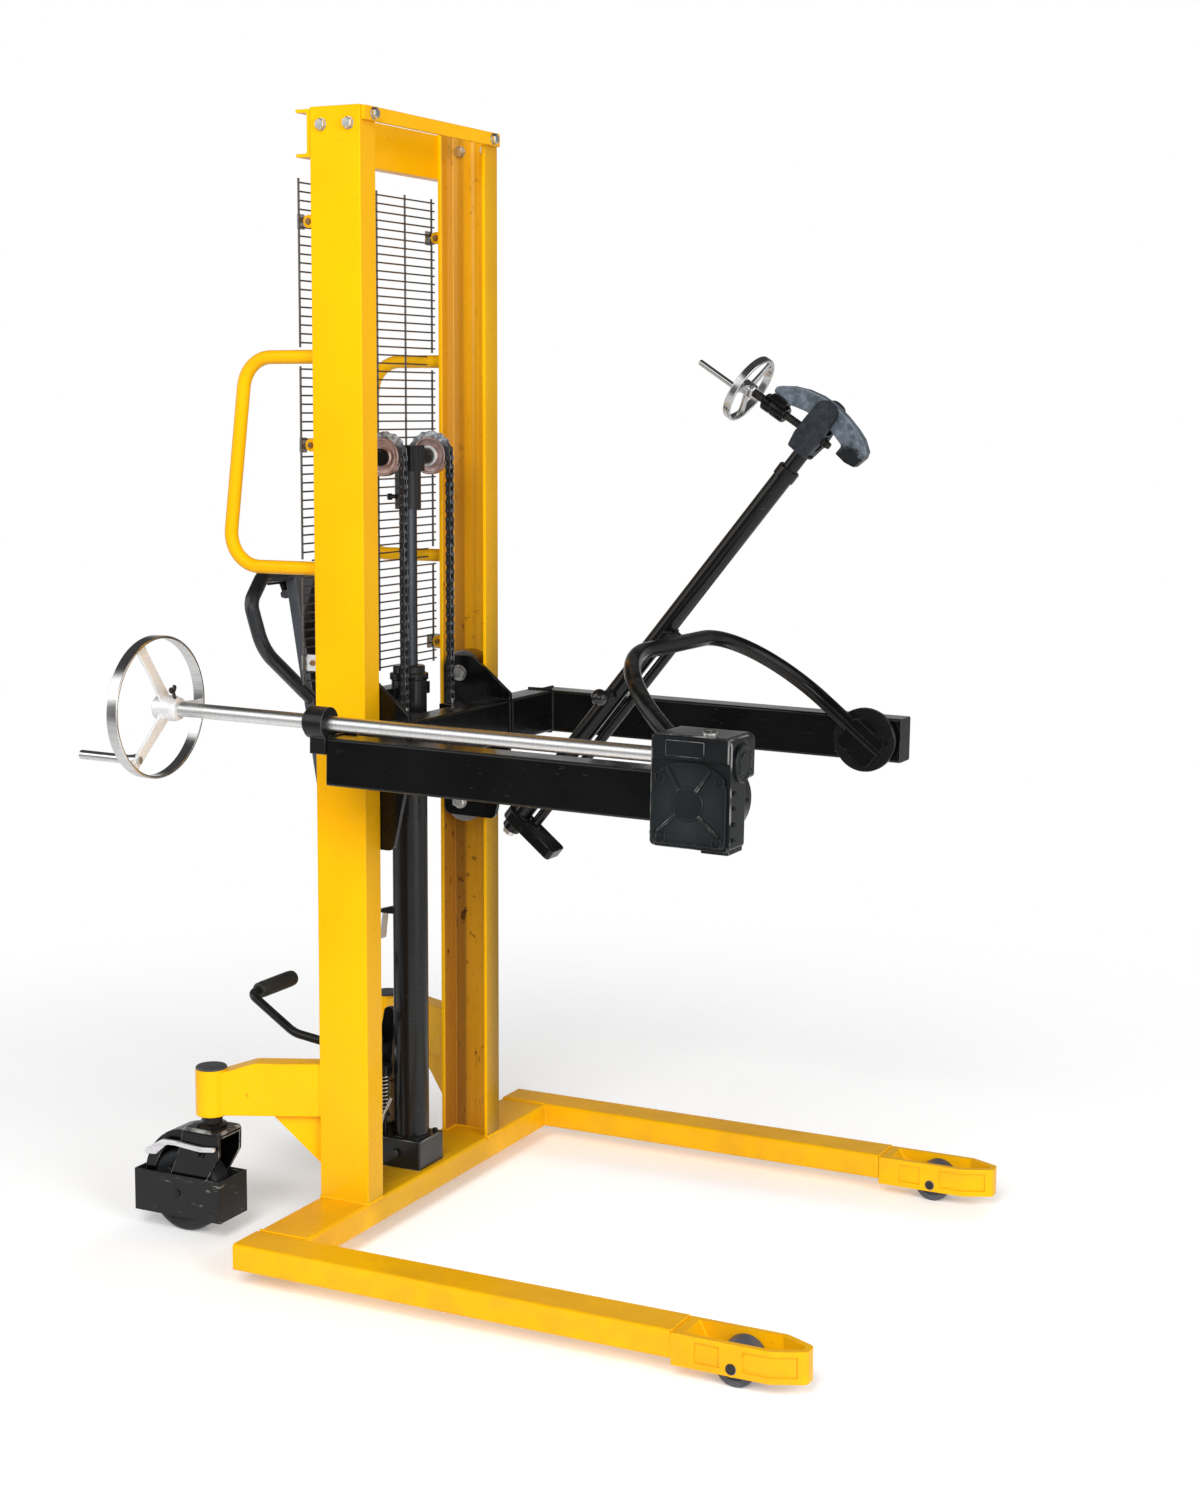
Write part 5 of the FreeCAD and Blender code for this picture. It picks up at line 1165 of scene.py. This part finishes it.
p = Piece()
HW2 = SCREW @ Matrix.Translation((0, 0, -127))
section = rounded([(54.5, -7), (60, -7), (60, 7), (54.5, 7)], [1.6, 2.4, 2.4, 1.6], 5)
p.add(lathe([(q.x, q.y) for q in section], 96, True), HW2)
p.add(lathe([(7.06, -11), (10.5, -11), (12.5, -9.5), (12.5, 9), (11.4, 12.2), (9.4, 13), (7.06, 13)], 40, True), HW2)
across = HW2.to_3x3().inverted() @ Vector((0, 1, 0))
for k in range(3):
    a = math.atan2(across.y, across.x) + math.pi + 2 * math.pi * k / 3
    turn = HW2 @ Matrix.Rotation(a, 4, "Z")
    p.add(loft([[(9, -8.5, -2.5), (9, 8.5, -2.5), (9, 8.5, 2.5), (9, -8.5, 2.5)], [(34, -6.6, -2.5), (34, 6.6, -2.5), (34, 6.6, 2.5), (34, -6.6, 2.5)],
                [(55.5, -8, -2.5), (55.5, 8, -2.5), (55.5, 8, 2.5), (55.5, -8, 2.5)]]), turn, soft=0.8)
along = Vector((math.cos(math.radians(6)), 0, math.sin(math.radians(6))))
start = Vector((-340, -50, 439.4)) + along * -127
p.add(lathe([(0, -80), (3.6, -80), (4.6, -79.2), (5.0, -78), (5.0, -6), (7.2, -5), (7.6, -3.6), (7.6, 3), (6.6, 4), (0, 4)], 32), at(start, along))
p.make("clamp_handwheel_chrome", CHROME, "screw_wheel", "bright_steel", "clamp_handwheel", where=CRADLE, angle=50)

# ------------------------------------------------------------ casters
for s, n in ((-1, "near"), (1, "far")):
    side = Matrix.Identity(4) if s < 0 else FLIP_Y
    p = Piece()
    p.add(rod(16, 190, 299, 1.2, 40), side @ Matrix.Translation((-288, -295, 0)))
    p.add(lathe([(0, 193), (26, 193), (27, 194), (27, 198.6), (25.4, 200.2), (19.4, 200.8), (18.6, 201.6), (18.6, 214.0), (18.0, 214.8), (0, 214.8)], 48), side @ Matrix.Translation((-288, -295, 0)))
    top = rounded(rect(-330, -246, -329, -261), [6, 9, 9, 6], 6)
    p.add(prism(top, 182, 195), side, soft=5.0, seg=4)
    cheek = rounded([(-328, 189), (-249, 189), (-250, 150), (-277, 106), (-310, 56), (-357, 56), (-360, 96), (-338, 150)], [0, 0, 12, 14, 16, 16, 14, 10], 6)
    for a in (-329, -267):
        p.add(prism(cheek, a, a + 6), side @ ON_Y, soft=1.2)
    for a, b, q in ((-334, -328, -1), (-262, -256, 1)):
        p.add(lathe([(0, a), (14, a), (14, b), (0, b)], 36), side @ at((-337, 0, 75), (0, 1, 0)), soft=0.8)
    guard = rounded(rect(-430, -244, -337, -253), 2.4, 4)
    hole = rounded(rect(-426, -248, -333, -257), 1.2, 4)
    p.add(prism(guard, 33, 108, [hole]), side, 1, soft=0.7)
    # hood over the wheel, with side skirts
    def dome(rx, rz, a0, a1):
        return [(-322 - rx * math.sin(math.radians(a0 + (a1 - a0) * k / 36)), 96 + rz * math.cos(math.radians(a0 + (a1 - a0) * k / 36))) for k in range(37)]
    p.add(prism(dome(94.0, 95.0, -6, 92) + dome(90.0, 91.0, 92, -6), -323, -267), side @ ON_Y, soft=1.2)
    for a, b in ((-323.4, -319.2), (-270.8, -266.6)):
        p.add(prism(dome(93.4, 94.4, -5, 91) + dome(72.0, 73.0, 91, -5), a, b), side @ ON_Y, soft=0.9)
    p.add(rod(8, -339, -251, 1.0, 28), side @ at((-337, 0, 75), (0, 1, 0)))
    p.add(rod(5.0, -337, -328, 0.8, 24), side @ at((-292, 0, 152), (0, 1, 0)))
    hex_bolt(p, side @ at((-337, -334, 75), (0, -1, 0)), 13, 0.8, washer=False)
    p.make("caster_fork_%s_bent" % n, [BLACK_EDGE_HIGHLIT, BLACK_SCRAPED], "caster_" + n, "black_paint", "caster_fork_" + n)

    p = Piece()
    turn = side @ at((-337, -295, 75), (0, 1, 0))
    tyre = rounded([(53, -19), (64, -23), (74.95, -23), (74.95, 23), (64, 23), (53, 19)], [0, 4, 9, 9, 4, 0], 7)
    p.add(lathe([(q.x, q.y) for q in tyre] + [(51.5, 14), (51.5, -14)], 96, True), turn, 0)
    web = [(8.06, -27), (17, -27), (20, -25.5), (20, -15), (23, -13.0), (47, -12.4), (50, -15), (50.5, -18.6), (52.6, -19), (52.6, 19), (50.5, 18.6), (50, 15), (47, 12.4), (23, 13.0), (20, 15), (20, 25.5), (17, 27), (8.06, 27)]
    p.add(lathe(web, 72, True), turn, 1)
    for k in range(8):
        spoke = turn @ Matrix.Rotation(math.radians(45 * k), 4, "Z")
        for a, b in ((-18, -12), (12, 18)):
            p.add(block(19, 50.5, -2.2, 2.2, a, b), spoke, 1, soft=0.8)
    p.make("caster_wheel_%s_tyred" % n, [RUBBER, HUB], "caster_wheel_%s_body" % n, "wheel_rubber", "caster_wheel_" + n)

    p = Piece()
    strip = rounded([(-254, 170), (-285, 167), (-312, 168.5), (-340, 171), (-366, 170.5), (-407, 147), (-404, 138.5), (-382, 140), (-358, 161), (-340, 162), (-312, 159.5), (-285, 157.5), (-254, 161.5)],
                    [3, 20, 30, 30, 14, 3, 3, 8, 12, 30, 30, 20, 3], 6)
    p.add(prism(strip, -338.0, -331.0), side @ ON_Y, soft=2.0, seg=3)
    # eye plate on the pivot and the foot tab at the strip's end
    eye = [(-292 + 5.06 * math.cos(2 * math.pi * k / 24), 152 + 5.06 * math.sin(2 * math.pi * k / 24)) for k in range(24)]
    p.add(prism(rounded([(-300, 143.5), (-284, 143.5), (-279, 164), (-305, 164)], [7, 7, 2, 2], 6), -332.0, -329.5, [eye]), side @ ON_Y, 1, soft=0.5)
    p.add(prism(rounded([(-405, 145.5), (-403, 139.5), (-383, 141), (-366, 156), (-374, 164)], 2.0, 4), -337.8, -324.8), side @ ON_Y, soft=1.4, seg=3)
    p.make("brake_lever_%s_pressed" % n, [STRIP, BLACK], "brake_" + n, "bright_steel", "brake_lever_" + n)

# ------------------------------------------------------------ pedal and tiller
refine("pedal_arm", BLACK_SATIN, "black_paint", 0.8)
p = Piece()
grip = [(8.02, -128), (11.5, -128), (13.4, -127.0), (14.4, -125.0), (14.4, -121), (13.4, -120.2), (13.4, -118.6), (14.5, -117.6), (15.0, -114), (15.0, -30), (14.4, -22)]
grip += [(14.4 - 14.4 * (1 - math.cos(math.radians(t))), -22 + 8.0 * math.sin(math.radians(t))) for t in range(15, 91, 15)]
grip[-1] = (0, -14.0)
p.add(lathe([(0, -128)] + grip, 48), at((-290, -18, 405), (0, 1, 0)))
p.make("pedal_grip_moulded", GRIP, "pedal", "wheel_rubber", "pedal_grip")

p = Piece()


def shaft():
    def bar(x0, x1, ya, za, yb, zb):
        return loft([[(x0, -ya, za), (x1, -ya, za), (x1, ya, za), (x0, ya, za)], [(x0, -yb, zb), (x1, -yb, zb), (x1, yb, zb), (x0, yb, zb)]])
    return carve(bar(-11, 11, 22, 4, 34, 876), bar(4, 20, 17, 60, 29, 790))


p.add(shaft(), None, 0, soft=2.2, seg=3)
path = rounded([(0, -12, 642), (0, -150, 752), (0, -168, 838), (0, -118, 884), (0, 118, 884), (0, 168, 838), (0, 150, 752), (0, 12, 642)], [0, 90, 30, 34, 34, 30, 90, 0], 12, False)
p.add(sweep(path, 13.0, 32), None, 1)
p.add(lathe([(8.06, -35.6), (14, -35.6), (15, -34.6), (15, 34.6), (14, 35.6), (8.06, 35.6)], 40, True), at((0, 0, 0), (0, 1, 0)), 0)
for s in (-1, 1):
    ear = rounded([(-8, 838), (-27, 840), (-27, 852), (-8, 854)], [0, 5, 5, 0], 5)
    p.add(prism(ear, min(s * 28, s * 33), max(s * 28, s * 33)), ON_Y, 0, soft=0.7)
    p.add(rod(4.0, 20, 33.6, 0.5, 20), at((-20.5, 0, 846), (0, s, 0)), 0)
    for a, b in ((40, 104),):
        ribs = [(13.05, a)]
        for k in range(9):
            y = a + 4 + (b - a - 8) * k / 8
            ribs += [(14.1, y - 2.4), (14.5, y - 1.2), (14.5, y + 1.2), (14.1, y + 2.4), (13.7, y + 3.2)]
        ribs += [(13.05, b)]
        p.add(lathe([(12.6, a)] + ribs + [(12.6, b)], 40, True), at((0, 0, 884), (0, s, 0)), 1)
p.make("tiller_shaped", [TILLER_GREY, LOOP_BLACK], "tiller_body", "black_paint", "tiller", where=TILLER)

p = Piece()
p.add(pipe(8.0, 4.06, -27, 27, 0.6, 32), at((-20.5, 0, 846), (0, 1, 0)))
p.add(prism([(-26.5, 848), (-17.5, 852.2), (-24.5, 874), (-32.5, 874)], -27, 27), ON_Y, soft=0.9)
p.add(prism(rounded(rect(-32.5, -22.5, 866, 876), 3, 5), -64, 64), ON_Y, soft=1.4)
p.make("release_lever_bar", BLACK_SATIN, "release", "black_paint", "release_lever", where=TILLER)

# ------------------------------------------------------------ wire guard keeps its CAD bars
for n, m in (("mesh_guard", WIRE),):
    NODES[n].data.materials.clear()
    NODES[n].data.materials.append(m)

# ------------------------------------------------------------ stage, light, camera
g = Graph("floor_paper")
tone = g.noise(0.9, 3.0)
g.base(Base_Color=g.mix(g.span(tone, 0.3, 0.7), (0.94, 0.94, 0.94), (0.915, 0.915, 0.915)), Roughness=g.span(tone, 0.3, 0.7, 0.7, 0.85), Specular_IOR_Level=0.2,
       Emission_Color=(1.0, 1.0, 1.0, 1.0), Emission_Strength=0.20)
far = g.new("ShaderNodeVectorMath", operation="LENGTH")
g.link(g.where, far.inputs[0])
rim = g.new("ShaderNodeMixShader")
g.link(g.span(far.outputs["Value"], 0.9, 2.6), rim.inputs[0])
g.link(g.bsdf.outputs[0], rim.inputs[1])
g.link(g.new("ShaderNodeBsdfTransparent").outputs[0], rim.inputs[2])
g.link(rim.outputs[0], g.tree.nodes["Material Output"].inputs[0])
bm = bmesh.new()
bmesh.ops.create_circle(bm, cap_ends=True, segments=96, radius=3.5)
me = bpy.data.meshes.new("floor")
bm.to_mesh(me)
bm.free()
me.materials.append(g.mat)
floor = bpy.data.objects.new("floor", me)
bpy.context.scene.collection.objects.link(floor)

world = bpy.data.worlds.new("studio")
bpy.context.scene.world = world
world.use_nodes = True
wt = world.node_tree
wt.nodes.clear()
wo = wt.nodes.new("ShaderNodeOutputWorld")
wb = wt.nodes.new("ShaderNodeBackground")
wc = wt.nodes.new("ShaderNodeTexCoord")
ws = wt.nodes.new("ShaderNodeSeparateXYZ")
wr = wt.nodes.new("ShaderNodeMapRange")
wr.interpolation_type = "SMOOTHSTEP"
wt.links.new(wc.outputs["Generated"], ws.inputs[0])
wt.links.new(ws.outputs[2], wr.inputs["Value"])
for k, v in (("From Min", 0.10), ("From Max", 0.85), ("To Min", 0.52), ("To Max", 0.26)):
    wr.inputs[k].default_value = v
wg = wt.nodes.new("ShaderNodeMapRange")
wg.interpolation_type = "SMOOTHSTEP"
wt.links.new(ws.outputs[2], wg.inputs["Value"])
for k, v in (("From Min", 0.02), ("From Max", 0.42), ("To Min", 0.75), ("To Max", 0.07)):
    wg.inputs[k].default_value = v
# soft panels for the highlights on either side and high in front; darker flags square to the flat faces
shine = wg.outputs["Result"]
for way, a, b, strength in (((-0.44, -0.89, -0.08), 0.93, 0.985, -0.80), ((0.44, 0.89, -0.08), 0.90, 0.98, -0.60), ((0.93, -0.25, 0.27), 0.80, 0.96, 1.5),
                            ((-0.40, -0.75, 0.52), 0.89, 0.975, 1.7), ((-0.85, -0.45, 0.27), 0.90, 0.98, 1.5), ((0.30, -0.93, 0.24), 0.955, 0.99, 2.2)):
    wd = wt.nodes.new("ShaderNodeVectorMath")
    wd.operation = "DOT_PRODUCT"
    wt.links.new(wc.outputs["Generated"], wd.inputs[0])
    wd.inputs[1].default_value = Vector(way).normalized()
    wk = wt.nodes.new("ShaderNodeMapRange")
    wk.interpolation_type = "SMOOTHSTEP"
    wt.links.new(wd.outputs["Value"], wk.inputs["Value"])
    for k, v in (("From Min", a), ("From Max", b), ("To Min", 0.0), ("To Max", strength)):
        wk.inputs[k].default_value = v
    wa = wt.nodes.new("ShaderNodeMath")
    wa.operation = "ADD" if strength > 0.0 else "MULTIPLY"
    if strength < 0.0:
        wk.inputs["To Min"].default_value, wk.inputs["To Max"].default_value = 1.0, 1.0 + strength
    wt.links.new(shine, wa.inputs[0])
    wt.links.new(wk.outputs["Result"], wa.inputs[1])
    shine = wa.outputs[0]
wb.inputs["Color"].default_value = (1.0, 1.0, 1.0, 1.0)
wp = wt.nodes.new("ShaderNodeLightPath")
wx = wt.nodes.new("ShaderNodeMix")
wx.data_type = "FLOAT"
wt.links.new(wp.outputs["Is Glossy Ray"], wx.inputs[0])
wt.links.new(wr.outputs["Result"], wx.inputs[2])
wt.links.new(shine, wx.inputs[3])
wm = wt.nodes.new("ShaderNodeMix")
wm.data_type = "FLOAT"
wt.links.new(wp.outputs["Is Camera Ray"], wm.inputs[0])
wt.links.new(wx.outputs[0], wm.inputs[2])
wm.inputs[3].default_value = 1.0
wt.links.new(wm.outputs[0], wb.inputs["Strength"])
wt.links.new(wb.outputs[0], wo.inputs[0])


def lamp(name, place, target, size, watts):
    data = bpy.data.lights.new(name, "AREA")
    data.shape = "RECTANGLE"
    data.size, data.size_y = size
    data.energy = watts
    o = bpy.data.objects.new(name, data)
    o.location = place
    o.rotation_euler = (Vector(target) - Vector(place)).to_track_quat("-Z", "Y").to_euler()
    o.visible_glossy = False
    bpy.context.scene.collection.objects.link(o)
    return o


lamp("key", (0.9, -4.6, 4.0), (0.0, 0.0, 0.9), (2.6, 3.2), 235.0)
lamp("fill", (4.2, -2.6, 2.2), (0.2, 0.0, 0.9), (2.0, 2.6), 140.0)
lamp("back", (0.5, 4.6, 3.4), (0.0, 0.0, 0.9), (3.0, 2.0), 60.0)

cam = bpy.data.cameras.new("camera")
cam.sensor_fit = "AUTO"
cam.sensor_width = 36.0
cam.lens = 55.33
cam.shift_x, cam.shift_y = -0.00803, -0.06389
cam.clip_end = 200.0
eye = bpy.data.objects.new("camera", cam)
bpy.context.scene.collection.objects.link(eye)
az, el, roll = math.radians(26.35), math.radians(6.09), math.radians(0.18)
back = Vector((math.sin(az) * math.cos(el), -math.cos(az) * math.cos(el), math.sin(el)))
right = Vector((math.cos(az), math.sin(az), 0.0))
up = back.cross(right)
r2 = right * math.cos(roll) + up * math.sin(roll)
u2 = up * math.cos(roll) - right * math.sin(roll)
m = Matrix((r2, u2, back)).transposed().to_4x4()
m.translation = M0 @ Vector((2118.93, -3558.86, 1464.0))
eye.matrix_world = m
bpy.context.scene.camera = eye
bpy.context.scene.view_settings.view_transform = "Standard"
bpy.context.scene.view_settings.look = "None"
